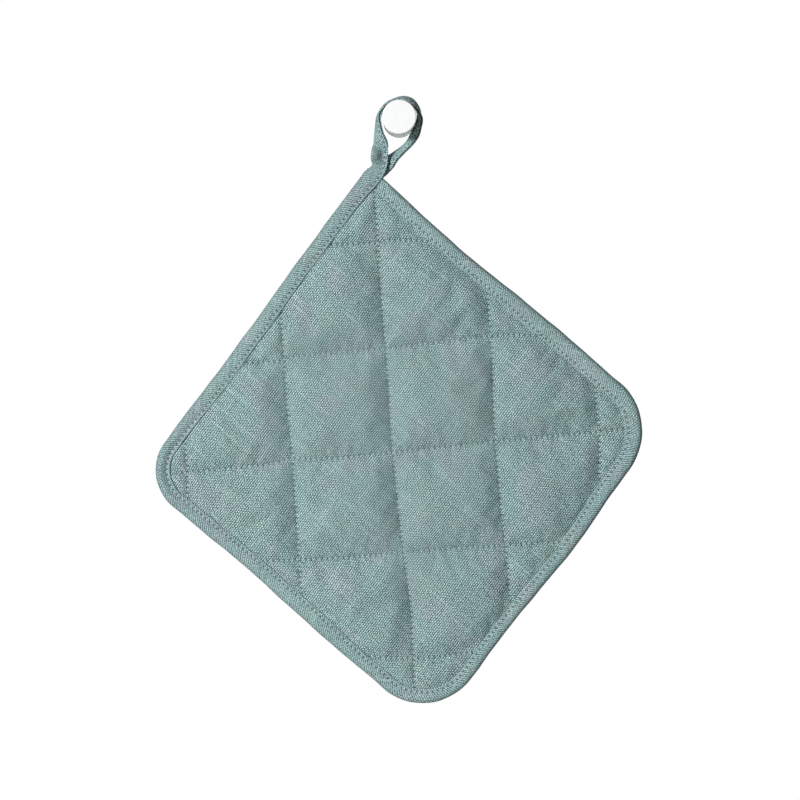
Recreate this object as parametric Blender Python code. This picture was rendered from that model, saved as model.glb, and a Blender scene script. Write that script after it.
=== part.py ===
"""Pot holder on a wall knob, in metres.

Four pieces: a square quilted pad, the folded tape that binds its edge, the hanging loop of the
same tape, and the round knob that the loop hangs from. The wall is the plane y = 0, the origin
is the middle of the knob's back face, +Z is up and -Y points into the room. The tables below
are in millimetres.
"""

import math
from typing import Callable, NamedTuple, Sequence

import bmesh
import bpy
import numpy as np
from mathutils.geometry import delaunay_2d_cdt

MM = 0.001


class Corner(NamedTuple):
    """Where two sides of the square meet, and how far the corner is rounded."""

    name: str
    x: float
    z: float
    radius: float


class Side(NamedTuple):
    """One side of the square: how far it bows outwards, and its S-shaped waver."""

    name: str
    bow: float
    waver: float


class Flap(NamedTuple):
    """How far the folded tape reaches in from the edge, at a fraction of one side."""

    side: int
    fraction: float
    width: float


class Station(NamedTuple):
    """A cross-section of the hanging loop: its middle, its width and how it is turned.

    The turn about the tape's own run is 90 degrees where it lies flat with its outer face to the
    room, 0 where it stands on edge, and -90 where it lies flat with its outer face to the wall.
    The slant is how far the section is off square to the run, clockwise as seen in the room.
    """

    x: float
    z: float
    y: float
    turn: float
    width: float
    slant: float = 0.0


CORNERS = (
    Corner("top", -17.3, -25.4, 0.0),
    Corner("right", 150.8, -170.6, 36.4),
    Corner("bottom", 18.5, -345.4, 33.8),
    Corner("left", -147.6, -201.9, 27.2),
)
SIDES = (
    Side("upper right", -1.16, -1.12),
    Side("lower right", 1.40, 1.25),
    Side("lower left", -0.38, 0.75),
    Side("upper left", -0.22, -0.50),
)
FLAPS = (
    Flap(0, 0.00, 9.4),
    Flap(0, 0.12, 8.5),
    Flap(0, 0.45, 8.6),
    Flap(0, 0.75, 10.6),
    Flap(1, 0.10, 9.4),
    Flap(1, 0.45, 7.6),
    Flap(1, 0.85, 7.8),
    Flap(2, 0.10, 8.2),
    Flap(2, 0.35, 9.7),
    Flap(2, 0.75, 9.0),
    Flap(3, 0.00, 8.2),
    Flap(3, 0.25, 9.0),
    Flap(3, 0.60, 8.7),
    Flap(3, 0.88, 8.9),
    Flap(3, 1.00, 10.6),
)

# Quilting seams, each as points (x, z) from one edge of the pad to the other.
UPRIGHT_SEAMS = (
    ((-122.1, -184.8), (-120.9, -197.0), (-120.7, -209.2)),
    ((-67.1, -111.1), (-64.2, -138.0), (-60.5, -181.0), (-59.6, -203.0), (-55.7, -264.8)),
    ((-14.3, -40.3), (-9.2, -109.0), (-5.4, -181.0), (0.4, -231.0), (7.0, -276.0), (8.9, -316.6)),
    ((49.7, -96.7), (53.6, -145.0), (55.6, -188.0), (60.0, -231.0), (63.9, -270.4)),
    ((109.9, -146.8), (113.5, -176.0), (113.8, -207.5)),
)
LEVEL_SEAMS = (
    ((-38.9, -70.3), (-13.0, -69.2), (-8.6, -67.8), (16.7, -68.0)),
    ((-87.8, -136.9), (-65.0, -136.2), (-58.0, -133.3), (-11.5, -129.3), (58.5, -121.5), (82.0, -122.7)),
    ((-118.7, -199.0), (-76.0, -194.8), (-60.0, -191.1), (-37.9, -191.2), (55.0, -181.8), (113.5, -176.0),
     (131.7, -174.1)),
    ((-76.1, -249.5), (-28.0, -247.3), (2.4, -244.4), (62.2, -240.2), (92.3, -238.5)),
    ((-15.5, -303.4), (-0.5, -304.4), (19.0, -304.0), (40.1, -301.4)),
)
# Grid lines of the pad between two seams, as fractions of the way across a quilted square.
GRADES = (0.0, 0.045, 0.12, 0.24, 0.40, 0.60, 0.76, 0.88, 0.955)
SQUARES = 59.0
SEAM_TAIL = 7.0

# The pad's middle surface, and how far each corner comes off the wall.
PAD_MIDDLE_Y = -4.95
TOP_LIFT = 0.75
LEFT_CURL = 2.0
RIGHT_CURL = 2.4
BOTTOM_CURL = 1.0
# Half the pad's thickness at its border, on a seam and in the middle of a square, and how fast
# it rises away from a seam and from the border.
EDGE_HALF = 1.45
SEAM_HALF = 1.55
CREST_HALF = 4.5
SEAM_REACH = 7.5
BORDER_REACH = 5.5
BORDER_ROW = 2.8
FILL_MARGIN = 5.6

# The folded tape: half its thickness over the pad's edge, one ply, and its rounded edges.
TAPE_HALF = 3.0
TAPE_PLY = 1.2
TAPE_FOLD = 1.3
TAPE_SHOULDER = 2.2
TAPE_ROUND = 0.6
TAPE_LIP = 0.35
CLEARANCE = 0.3
EDGE_STEP = 6.4
FAN = 26.0

LOOP_THICKNESS = 2.2
LOOP_STEP = 2.7
LOOP_ROUND = 0.55
LOOP = (
    Station(-12.3, -28.95, -6.3, 90.0, 9.0, 32.0),
    Station(-11.5, -25.3, -6.7, 87.0, 9.6, 17.0),
    Station(-11.2, -22.0, -7.0, 79.0, 10.0, 4.0),
    Station(-10.8, -18.6, -7.4, 65.0, 9.8),
    Station(-10.8, -15.2, -8.0, 47.0, 9.2),
    Station(-11.4, -8.5, -8.8, 27.0, 8.8),
    Station(-11.7, -2.8, -9.2, 13.0, 8.8),
    Station(-11.3, 2.8, -9.4, 1.0, 8.8),
    Station(-7.2, 8.3, -9.5, -4.0, 8.8),
    Station(-2.6, 10.7, -9.5, -6.0, 8.8),
    Station(2.3, 11.4, -9.5, -11.0, 8.8),
    Station(6.2, 9.8, -9.5, -11.0, 8.8),
    Station(9.9, 5.4, -9.4, -7.0, 8.8),
    Station(11.4, 0.3, -9.3, -8.0, 8.8),
    Station(11.0, -4.1, -9.0, -13.0, 8.8),
    Station(8.9, -8.4, -8.5, -18.0, 8.8),
    Station(5.4, -12.9, -7.6, -20.0, 8.8),
    Station(0.8, -17.2, -6.4, -24.0, 8.8),
    Station(-3.4, -21.0, -5.0, -38.0, 8.8),
    Station(-7.5, -24.5, -3.1, -70.0, 8.8),
    Station(-11.8, -27.6, -1.65, -88.0, 8.8),
    Station(-16.2, -30.4, -1.55, -90.0, 8.6),
)
# The loop's end is pressed thinner where it is sewn behind the corner.
LOOP_END_THICKNESS = 1.7
PRESSED_FROM = 20.0
PRESSED_OVER = 12.0

KNOB_NECK_RADIUS = 9.1
KNOB_HEAD_RADIUS = 9.6
KNOB_LENGTH = 26.0
KNOB_HEAD_LENGTH = 4.0
KNOB_EDGE = 0.7
KNOB_FLARE = 0.5
KNOB_SEGMENTS = 44

CURVE_PIECES = 8
Point = tuple[float, float]


def smooth(t: float) -> float:
    """An even rise from 0 to 1."""
    t = min(max(t, 0.0), 1.0)
    return t * t * (3.0 - 2.0 * t)


def through(points: Sequence[Sequence[float]], pieces: int = CURVE_PIECES) -> np.ndarray:
    """A smooth curve through the points (Catmull-Rom), as a dense polyline."""
    given = np.array(points, float)
    padded = np.vstack([2 * given[0] - given[1], given, 2 * given[-1] - given[-2]])
    curve = []
    for i in range(len(given) - 1):
        a, b, c, d = padded[i : i + 4]
        for k in range(pieces):
            t = k / pieces
            even = 2 * b + (c - a) * t
            bend = (2 * a - 5 * b + 4 * c - d) * t**2 + (3 * b - a - 3 * c + d) * t**3
            curve.append(0.5 * (even + bend))
    curve.append(given[-1])
    return np.array(curve)


def nearest_on(line: np.ndarray, point: Sequence[float]) -> np.ndarray:
    """The point of a polyline that is nearest to another point."""
    start = line[:-1]
    run = line[1:] - start
    t = ((np.array(point) - start) * run).sum(axis=1) / np.maximum((run**2).sum(axis=1), 1e-9)
    found = start + run * np.clip(t, 0.0, 1.0)[:, None]
    return found[np.hypot(*(found - np.array(point)).T).argmin()]


def distance_to(line: np.ndarray, point: Sequence[float]) -> float:
    """The least distance from a point to a polyline."""
    return float(np.hypot(*(nearest_on(line, point) - np.array(point))))


class Outline:
    """The outer edge of the bound square, run clockwise from the top corner as seen in the room."""

    def __init__(self) -> None:
        points: list[np.ndarray] = []
        marks: list[tuple[int, float]] = []
        ends = [self.rounding(i) for i in range(4)]
        for i, side in enumerate(SIDES):
            start = ends[i][1]
            finish = ends[(i + 1) % 4][0]
            run = finish - start
            outward = np.array([-run[1], run[0]]) / np.hypot(*run)
            for k in range(201):
                t = k / 200
                wave = math.sin(math.pi * t)
                off = side.bow * wave**2 + side.waver * math.sin(2 * math.pi * t) * wave
                points.append(start + run * t + outward * off)
                marks.append((i, t))
            points.extend(self.arc((i + 1) % 4, finish, ends[(i + 1) % 4][1]))
            marks.extend([(i, 1.0)] * (len(points) - len(marks)))
        self.line = np.array(points)
        step = np.hypot(*np.diff(self.line, axis=0).T)
        keep = np.concatenate([[True], step > 1e-6])
        self.line = self.line[keep]
        self.marks = [mark for mark, kept in zip(marks, keep) if kept]
        self.run = np.concatenate([[0.0], np.cumsum(np.hypot(*np.diff(self.line, axis=0).T))])
        self.length = float(self.run[-1])
        self.flap_run, self.flap_width = self.flap_table()

    @staticmethod
    def rounding(i: int) -> tuple[np.ndarray, np.ndarray]:
        """Where the corner's round starts and ends, or the corner itself twice."""
        at = np.array([CORNERS[i].x, CORNERS[i].z])
        back = np.array([CORNERS[i - 1].x, CORNERS[i - 1].z]) - at
        ahead = np.array([CORNERS[(i + 1) % 4].x, CORNERS[(i + 1) % 4].z]) - at
        back /= np.hypot(*back)
        ahead /= np.hypot(*ahead)
        reach = CORNERS[i].radius / math.tan(math.acos(float(back @ ahead)) / 2)
        return at + back * reach, at + ahead * reach

    @staticmethod
    def arc(i: int, start: np.ndarray, finish: np.ndarray) -> list[np.ndarray]:
        """The points of a corner's round between two sides."""
        radius = CORNERS[i].radius
        if radius == 0.0:
            return []
        at = np.array([CORNERS[i].x, CORNERS[i].z])
        inward = (start + finish) / 2 - at
        inward /= np.hypot(*inward)
        centre = at + inward * math.hypot(radius, float(np.hypot(*(start - at))))
        first = math.atan2(*(start - centre)[::-1])
        turn = (math.atan2(*(finish - centre)[::-1]) - first + math.pi) % (2 * math.pi) - math.pi
        angles = [first + turn * k / 48 for k in range(1, 48)]
        return [centre + radius * np.array([math.cos(a), math.sin(a)]) for a in angles]

    def flap_table(self) -> tuple[list[float], list[float]]:
        """The tape's reach as a table of distance along the edge."""
        runs = []
        for flap in FLAPS:
            own = [j for j, (side, _) in enumerate(self.marks) if side == flap.side]
            nearest = min(own, key=lambda j: abs(self.marks[j][1] - flap.fraction))
            runs.append(self.length if flap.side == 3 and flap.fraction == 1.0 else float(self.run[nearest]))
        return runs, [flap.width for flap in FLAPS]

    def width(self, s: float) -> float:
        """How far the tape reaches in from the edge at the distance s along it."""
        for k in range(len(self.flap_run) - 1):
            low, high = self.flap_run[k], self.flap_run[k + 1]
            if s <= high:
                part = smooth((s - low) / (high - low))
                return self.flap_width[k] * (1 - part) + self.flap_width[k + 1] * part
        return self.flap_width[-1]

    def at(self, s: float) -> np.ndarray:
        """The point at the distance s along the edge."""
        return np.array([np.interp(s, self.run, self.line[:, k]) for k in range(2)])

    def ahead(self, s: float) -> np.ndarray:
        """The unit direction along the edge."""
        run = self.at(min(s + 1.0, self.length)) - self.at(max(s - 1.0, 0.0))
        return run / np.hypot(*run)

    def inward(self, s: float) -> np.ndarray:
        """The unit direction into the pad at the distance s along the edge."""
        ahead = self.ahead(s)
        return np.array([ahead[1], -ahead[0]])

    def mitre(self) -> np.ndarray:
        """From the sharp top corner to where the inner edges of its two flaps cross."""
        first, last = self.inward(0.5), self.inward(self.length - 0.5)
        return np.linalg.solve(np.array([first, last]), [self.flap_width[0], self.flap_width[-1]])

    def stations(self, step: float) -> list[float]:
        """Even distances along the edge; the first is the top corner, which is not repeated."""
        count = round(self.length / step)
        return [self.length * k / count for k in range(count)]

    def reach(self, s: float) -> np.ndarray:
        """From the edge to the inner edge of the flap; it fans out from the mitred corner."""
        if s == 0.0:
            return self.mitre()
        first = max(1.0 - s / FAN, 0.0) * self.flap_width[-1]
        last = max(1.0 - (self.length - s) / FAN, 0.0) * self.flap_width[0]
        return self.inward(s) * self.width(s) + self.ahead(s) * (first - last)

    def inset(self, s: float, depth: float) -> np.ndarray:
        """The point this far in from the edge."""
        return self.at(s) + self.reach(s) * depth / self.width(s)

    def beyond_flap(self, s: float, extra: float) -> np.ndarray:
        """The point this far inside the inner edge of the flap."""
        return self.inset(s, self.width(s) + extra)


class Quilt:
    """The pad's seams, its grid, its middle surface and how thick it is at each place."""

    def __init__(self, outline: Outline) -> None:
        self.upright = [through([self.extend(s, 0), *s, self.extend(s, -1)]) for s in UPRIGHT_SEAMS]
        self.level = [through([self.extend(s, 0), *s, self.extend(s, -1)]) for s in LEVEL_SEAMS]
        inner = [outline.beyond_flap(s, CLEARANCE) for s in outline.stations(2.0)]
        self.inner = np.array([*inner, inner[0]])

    @staticmethod
    def extend(seam: Sequence[Point], end: int) -> Point:
        """A point past the end of a seam, under the tape."""
        last, before = (seam[0], seam[1]) if end == 0 else (seam[-1], seam[-2])
        run = (last[0] - before[0], last[1] - before[1])
        long = math.hypot(*run)
        return (last[0] + run[0] * SEAM_TAIL / long, last[1] + run[1] * SEAM_TAIL / long)

    def inside(self, x: float, z: float) -> float:
        """The distance from the flap's inner edge, negative where the tape covers the pad."""
        line = self.inner
        ahead = np.roll(line, -1, axis=0)
        crosses = (line[:, 1] > z) != (ahead[:, 1] > z)
        run = np.where(crosses, ahead[:, 1] - line[:, 1], 1.0)
        at_x = line[:, 0] + (z - line[:, 1]) * (ahead[:, 0] - line[:, 0]) / run
        within = np.count_nonzero(crosses & (x < at_x)) % 2 == 1
        return distance_to(line, (x, z)) * (1.0 if within else -1.0)

    def half(self, x: float, z: float) -> float:
        """Half the pad's thickness: thin at the border and the seams, full between them."""
        within = self.inside(x, z)
        if within <= 0.0:
            return EDGE_HALF
        rise = 1.0
        for seam in (*self.upright, *self.level):
            rise *= 1.0 - math.exp(-distance_to(seam, (x, z)) / SEAM_REACH)
        full = (1.0 - math.exp(-SQUARES / 2 / SEAM_REACH)) ** 4
        uneven = 1.0 + 0.05 * math.sin(x / 31.0 + 1.3) * math.sin(z / 37.0)
        crest = SEAM_HALF + (CREST_HALF - SEAM_HALF) * min(rise / full, 1.0) * uneven
        return EDGE_HALF + (crest - EDGE_HALF) * (1.0 - math.exp(-within / BORDER_REACH))

    @staticmethod
    def middle(x: float, z: float) -> float:
        """The y of the middle surface: nearly flat, with the corners coming off the wall."""
        top = smooth((z + 105.0) / 80.0) * TOP_LIFT
        left = smooth((-x - 70.0) / 75.0) ** 2 * LEFT_CURL
        right = smooth((x - 70.0) / 72.0) ** 2 * RIGHT_CURL
        bottom = smooth((-z - 250.0) / 90.0) ** 2 * BOTTOM_CURL
        return PAD_MIDDLE_Y - top - left - right - bottom

    @staticmethod
    def along(seam: np.ndarray, value: float, known: int) -> float:
        """The other coordinate of a seam where one is known, straight on past its ends."""
        line = seam if seam[0, known] < seam[-1, known] else seam[::-1]
        other = 1 - known
        for a, b in ((line[0], line[CURVE_PIECES]), (line[-1], line[-1 - CURVE_PIECES])):
            if (value - a[known]) * (b[known] - a[known]) < 0.0:
                return float(a[other] + (value - a[known]) * (b[other] - a[other]) / (b[known] - a[known]))
        return float(np.interp(value, line[:, known], line[:, other]))

    def grid_line(self, seams: Sequence[np.ndarray], step: float, value: float, known: int) -> float:
        """Where a grid line runs: step 2.24 is 0.24 of the way from the third seam to the fourth."""
        sign = 1.0 if known == 1 else -1.0
        first = min(max(math.floor(step), 0), len(seams) - 1)
        near = self.along(seams[first], value, known)
        if step < 0.0 or first == len(seams) - 1:
            return near + sign * (step - first) * SQUARES
        far = self.along(seams[first + 1], value, known)
        return near + (far - near) * (step - first)

    def crossing(self, across: float, down: float) -> Point:
        """Where an upright and a level grid line meet."""
        x, z = 0.0, -150.0
        for _ in range(12):
            x = self.grid_line(self.upright, across, z, 1)
            z = self.grid_line(self.level, down, x, 0)
        return x, z


def new_mesh(name: str, verts: Sequence[Sequence[float]], faces: Sequence[Sequence[int]]) -> bpy.types.Object:
    """A mesh object from points in millimetres, with its faces turned outwards."""
    mesh = bpy.data.meshes.new(name)
    mesh.from_pydata([[c * MM for c in v] for v in verts], [], faces)
    work = bmesh.new()
    work.from_mesh(mesh)
    bmesh.ops.recalc_face_normals(work, faces=work.faces)
    work.to_mesh(mesh)
    work.free()
    obj = bpy.data.objects.new(name, mesh)
    bpy.context.scene.collection.objects.link(obj)
    return obj


def finish(obj: bpy.types.Object, colour: tuple[float, float, float], roughness: float) -> None:
    """Gives the object a material of its own and shades its sides smooth."""
    material = bpy.data.materials.new(obj.name)
    material.use_nodes = True
    shader = material.node_tree.nodes["Principled BSDF"]
    shader.inputs["Base Color"].default_value = (*colour, 1.0)
    shader.inputs["Roughness"].default_value = roughness
    obj.data.materials.append(material)
    for face in obj.data.polygons:
        face.use_smooth = len(face.vertices) < 5


def sleeve(rings: Sequence[Sequence[Sequence[float]]], closed: bool) -> tuple[list, list]:
    """Points and faces of a tube through rings of equal count; open tubes get end faces."""
    count = len(rings[0])
    verts = [point for ring in rings for point in ring]
    faces: list[list[int]] = []
    for i in range(len(rings) if closed else len(rings) - 1):
        a, b = i * count, (i + 1) % len(rings) * count
        for k in range(count):
            n = (k + 1) % count
            faces.append([a + k, a + n, b + n, b + k])
    if not closed:
        faces.append(list(range(count)))
        faces.append([(len(rings) - 1) * count + k for k in range(count)])
    return verts, faces


class PadMesh:
    """The flat triangulation that both faces of the pad share."""

    def __init__(self, outline: Outline, quilt: Quilt) -> None:
        self.outline = outline
        self.quilt = quilt
        self.points: list[Point] = []
        self.edges: list[tuple[int, int]] = []
        self.edge_count = 0
        self.rim: list[int] = []

    def ring(self, at: Callable[[float], np.ndarray], seams: bool) -> None:
        """A closed row of points round the pad, with one on each seam that it meets."""
        row = [at(s) for s in self.outline.stations(EDGE_STEP)]
        if seams:
            pinned = self.meetings([at(s) for s in self.outline.stations(1.0)])
            row = [p for p in row if all(np.hypot(*(p - q)) > 3.0 for q in pinned)] + pinned
            centre = np.mean(row, axis=0)
            row.sort(key=lambda p: -math.atan2(*(p - centre)[::-1]))
        first = len(self.points)
        self.points.extend((float(p[0]), float(p[1])) for p in row)
        count = len(row)
        self.edges.extend((first + k, first + (k + 1) % count) for k in range(count))

    def meetings(self, dense: Sequence[np.ndarray]) -> list[np.ndarray]:
        """The points of the seams where a close row of points passes over them."""
        found = []
        for seam in (*self.quilt.upright, *self.quilt.level):
            near = [distance_to(seam, p) for p in dense]
            for k, far in enumerate(near):
                if far < 0.6 and far <= near[k - 1] and far < near[(k + 1) % len(near)]:
                    found.append(nearest_on(seam, dense[k]))
        return found

    def fill(self) -> None:
        """Grid points over the middle of the pad, closer together beside the seams."""
        steps = [n + g for n in range(-1, 5) for g in GRADES]
        for across in steps:
            for down in steps:
                x, z = self.quilt.crossing(across, down)
                if self.quilt.inside(x, z) > FILL_MARGIN:
                    self.points.append((x, z))

    def triangles(self) -> tuple[list[Point], list[list[int]]]:
        """The rows, the grid and their triangulation inside the pad's edge."""
        self.ring(lambda s: self.outline.inset(s, TAPE_FOLD + CLEARANCE), seams=False)
        self.edge_count = len(self.points)
        self.ring(lambda s: self.outline.beyond_flap(s, CLEARANCE), seams=True)
        self.ring(lambda s: self.outline.beyond_flap(s, CLEARANCE + BORDER_ROW), seams=True)
        self.fill()
        _, _, faces, origins, _, _ = delaunay_2d_cdt(self.points, self.edges, [], 1, 1e-5)
        order = [origin[0] for origin in origins]
        place = {k: i for i, k in enumerate(order)}
        self.rim = [place[k] for k in range(self.edge_count)]
        return [self.points[k] for k in order], [list(face) for face in faces]


def build_pad(outline: Outline, quilt: Quilt) -> bpy.types.Object:
    """The quilted pad: two puffed faces joined round a thin rim."""
    mesh = PadMesh(outline, quilt)
    flat, faces = mesh.triangles()
    front, back = [], []
    for x, z in flat:
        middle, half = quilt.middle(x, z), quilt.half(x, z)
        front.append((x, middle - half, z))
        back.append((x, middle + half, z))
    count = len(flat)
    solid = [list(face) for face in faces]
    solid += [[count + k for k in reversed(face)] for face in faces]
    rim = mesh.rim
    for k, a in enumerate(rim):
        b = rim[(k + 1) % len(rim)]
        solid.append([a, b, count + b, count + a])
    return new_mesh("quilted_pad", front + back, solid)


def build_binding(outline: Outline, quilt: Quilt) -> bpy.types.Object:
    """The folded tape: a U-shaped section carried round the edge, mitred at the top corner."""
    rings = []
    slot = TAPE_HALF - TAPE_PLY
    for s in outline.stations(EDGE_STEP):
        width = outline.width(s)
        front = (
            (TAPE_FOLD, slot),
            (width, slot),
            (width, TAPE_HALF - TAPE_LIP),
            (width - 2 * TAPE_LIP, TAPE_HALF),
            (TAPE_SHOULDER, TAPE_HALF),
            (TAPE_ROUND, slot + TAPE_LIP),
            (0.0, TAPE_HALF - TAPE_SHOULDER),
        )
        section = [(depth, -off) for depth, off in front] + list(reversed(front))
        ring = []
        for depth, off in section:
            x, z = outline.inset(s, depth)
            ring.append((x, quilt.middle(x, z) + off, z))
        rings.append(ring)
    return new_mesh("edge_binding", *sleeve(rings, closed=True))


def loop_path() -> tuple[np.ndarray, np.ndarray]:
    """The loop's stations smoothed and spaced evenly, and the distance of each along it."""
    rows = through([tuple(station) for station in LOOP], 16)
    run = np.concatenate([[0.0], np.cumsum(np.sqrt((np.diff(rows[:, :3], axis=0) ** 2).sum(axis=1)))])
    count = round(run[-1] / LOOP_STEP) + 1
    even = np.linspace(0.0, run[-1], count)
    return np.stack([np.interp(even, run, rows[:, k]) for k in range(6)], axis=1), even


def build_loop() -> bpy.types.Object:
    """The hanging loop: the tape on its own, turned as it goes up, over the knob and back."""
    rows, run = loop_path()
    middles = rows[:, [0, 2, 1]]
    ahead = np.gradient(middles, axis=0)
    rings = []
    for i, middle in enumerate(middles):
        t = ahead[i] / np.linalg.norm(ahead[i])
        slant = math.atan2(t[2], t[0]) - math.pi / 2 - math.radians(rows[i, 5])
        flat = np.array([math.cos(slant), 0.0, math.sin(slant)])
        turn = math.radians(rows[i, 3])
        across = math.cos(turn) * np.array([0.0, -1.0, 0.0]) + math.sin(turn) * flat
        out = np.cross(across, t)
        out /= np.linalg.norm(out)
        part = smooth((run[i] - run[-1] + PRESSED_FROM) / PRESSED_OVER)
        thick = (LOOP_THICKNESS * (1 - part) + LOOP_END_THICKNESS * part) / 2
        wide = rows[i, 4] / 2
        nib = LOOP_ROUND
        section = (
            (wide, thick - nib),
            (wide - nib, thick),
            (nib - wide, thick),
            (-wide, thick - nib),
            (-wide, nib - thick),
            (nib - wide, -thick),
            (wide - nib, -thick),
            (wide, nib - thick),
        )
        rings.append([middle + across * a + out * b for a, b in section])
    return new_mesh("hanging_loop", *sleeve(rings, closed=False))


def build_knob() -> bpy.types.Object:
    """The knob: a straight neck from the wall, a slightly wider head with a rounded edge."""
    head = -KNOB_LENGTH
    under = head + KNOB_HEAD_LENGTH
    soft = 0.29 * KNOB_EDGE
    profile = (
        (KNOB_NECK_RADIUS, 0.0),
        (KNOB_NECK_RADIUS, under),
        (KNOB_HEAD_RADIUS, under - KNOB_FLARE),
        (KNOB_HEAD_RADIUS, head + KNOB_EDGE),
        (KNOB_HEAD_RADIUS - soft, head + soft),
        (KNOB_HEAD_RADIUS - KNOB_EDGE, head),
    )
    rings = []
    for radius, y in profile:
        angles = [2 * math.pi * k / KNOB_SEGMENTS for k in range(KNOB_SEGMENTS)]
        rings.append([(radius * math.cos(a), y, radius * math.sin(a)) for a in angles])
    return new_mesh("wall_knob", *sleeve(rings, closed=False))


def main() -> None:
    """Builds the four pieces."""
    for obj in list(bpy.data.objects):
        bpy.data.objects.remove(obj)
    outline = Outline()
    quilt = Quilt(outline)
    finish(build_pad(outline, quilt), (0.25, 0.35, 0.36), 0.9)
    finish(build_binding(outline, quilt), (0.24, 0.34, 0.35), 0.9)
    finish(build_loop(), (0.24, 0.34, 0.35), 0.9)
    finish(build_knob(), (0.82, 0.83, 0.82), 0.35)


main()
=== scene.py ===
"""Looks of a quilted linen pot holder that hangs by its loop on a wall knob.

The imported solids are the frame, in metres: the wall is the plane y = 0, the origin is the middle
of the knob's back face, +Z is up and -Y points into the room. Sizes here are in millimetres, as a
maker would give them, and `place` turns them to metres when a mesh is made.
"""

from __future__ import annotations

import logging
import math
from dataclasses import dataclass, field
from enum import Enum
from typing import Any, Sequence

import bmesh
import bpy
import numpy as np
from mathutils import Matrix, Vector
from mathutils.bvhtree import BVHTree
from mathutils.geometry import delaunay_2d_cdt


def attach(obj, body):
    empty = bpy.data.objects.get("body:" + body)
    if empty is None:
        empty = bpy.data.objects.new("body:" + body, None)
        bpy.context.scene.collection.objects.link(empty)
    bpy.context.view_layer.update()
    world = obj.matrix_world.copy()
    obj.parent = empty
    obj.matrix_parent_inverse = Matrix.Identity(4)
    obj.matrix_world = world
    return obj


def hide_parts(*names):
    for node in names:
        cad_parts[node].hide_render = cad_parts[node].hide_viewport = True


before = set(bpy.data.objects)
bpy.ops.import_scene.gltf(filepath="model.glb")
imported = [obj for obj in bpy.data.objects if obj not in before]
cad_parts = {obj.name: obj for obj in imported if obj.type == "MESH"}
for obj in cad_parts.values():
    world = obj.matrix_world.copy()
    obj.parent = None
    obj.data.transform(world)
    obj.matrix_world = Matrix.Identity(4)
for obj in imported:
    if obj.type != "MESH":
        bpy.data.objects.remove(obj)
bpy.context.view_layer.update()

MM = 0.001
BODY = "root"
Array = np.ndarray
Seams = tuple[tuple[tuple[float, float], ...], ...]

log = logging.getLogger("pot_holder")


class Face(Enum):
    """The side of the cloth, as the sign of its outward direction along y."""

    FRONT = -1.0
    BACK = 1.0


# ---------------------------------------------------------------------------------------------
# Geometry helpers


def smooth(t: Array | float) -> Array:
    """Rises evenly from 0 to 1.

    Args:
        t: Where to read the curve; it is flat below 0 and above 1.

    Returns:
        The height of the curve.
    """
    t = np.clip(t, 0.0, 1.0)
    return t * t * (3.0 - 2.0 * t)


def bell(distance: Array, reach: float) -> Array:
    """A bump of height 1 that dies away over a distance.

    Args:
        distance: Distance from the middle of the bump.
        reach: Where it has fallen to about a third.

    Returns:
        The height of the bump.
    """
    return np.exp(-((distance / reach) ** 2))


def wander(run: Array, wave: float, start: float = 0.0) -> Array:
    """An uneven wave between about -1 and 1, the same each time.

    Args:
        run: Distance along the piece.
        wave: Its longest wavelength, in the unit of run.
        start: Shifts the wave, so that two pieces don't match.

    Returns:
        The height of the wave at each place.
    """
    turn = 2.0 * math.pi * run / wave
    long = np.sin(turn + start)
    middle = np.sin(1.71 * turn + 2.3 * start + 0.9)
    short = np.sin(2.93 * turn + 4.1 * start + 2.2)
    return 0.45 * long + 0.33 * middle + 0.22 * short


def through(points: Array, pieces: int = 8) -> Array:
    """A smooth curve through a few rows of numbers (Catmull-Rom).

    Args:
        points: The rows that the curve passes.
        pieces: Straight pieces between two rows.

    Returns:
        The dense rows of the curve.
    """
    given = np.array(points, float)
    padded = np.vstack([2 * given[0] - given[1], given, 2 * given[-1] - given[-2]])
    curve = []
    for a, b, c, d in zip(padded, padded[1:], padded[2:], padded[3:]):
        for t in np.arange(pieces) / pieces:
            even = 2 * b + (c - a) * t
            bend = (2 * a - 5 * b + 4 * c - d) * t**2 + (3 * b - a - 3 * c + d) * t**3
            curve.append(0.5 * (even + bend))
    curve.append(given[-1])
    return np.array(curve)


def run_along(line: Array) -> Array:
    """The distance of each point of a line from its start.

    Args:
        line: Points in two or three dimensions.

    Returns:
        One distance for each point.
    """
    return np.concatenate([[0.0], np.cumsum(np.linalg.norm(np.diff(line, axis=0), axis=1))])


def place(points: Array) -> list[tuple[float, float, float]]:
    """Points in millimetres as the metres that a mesh holds.

    Args:
        points: Rows of x, y and z.

    Returns:
        The rows as tuples.
    """
    return [tuple(row) for row in (np.asarray(points, float) * MM).tolist()]


def new_piece(name: str, points: Array, faces: Sequence[Sequence[int]]) -> bpy.types.Object:
    """A mesh object at the origin, shaded smooth, with its faces turned outwards.

    Args:
        name: The piece's name.
        points: Its points, in millimetres.
        faces: The faces, as rows of point numbers.

    Returns:
        The linked object.
    """
    mesh = bpy.data.meshes.new(name)
    mesh.from_pydata(place(points), [], [list(face) for face in faces])
    work = bmesh.new()
    work.from_mesh(mesh)
    bmesh.ops.recalc_face_normals(work, faces=work.faces)
    work.to_mesh(mesh)
    work.free()
    mesh.shade_smooth()
    piece = bpy.data.objects.new(name, mesh)
    bpy.context.scene.collection.objects.link(piece)
    return piece


def mark_points(piece: bpy.types.Object, name: str, values: Array) -> None:
    """Gives each point of a piece a number that its material reads.

    Args:
        piece: The piece.
        name: The attribute's name.
        values: One number for each point.
    """
    layer = piece.data.attributes.new(name, "FLOAT", "POINT")
    layer.data.foreach_set("value", np.asarray(values, np.float32))


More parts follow.
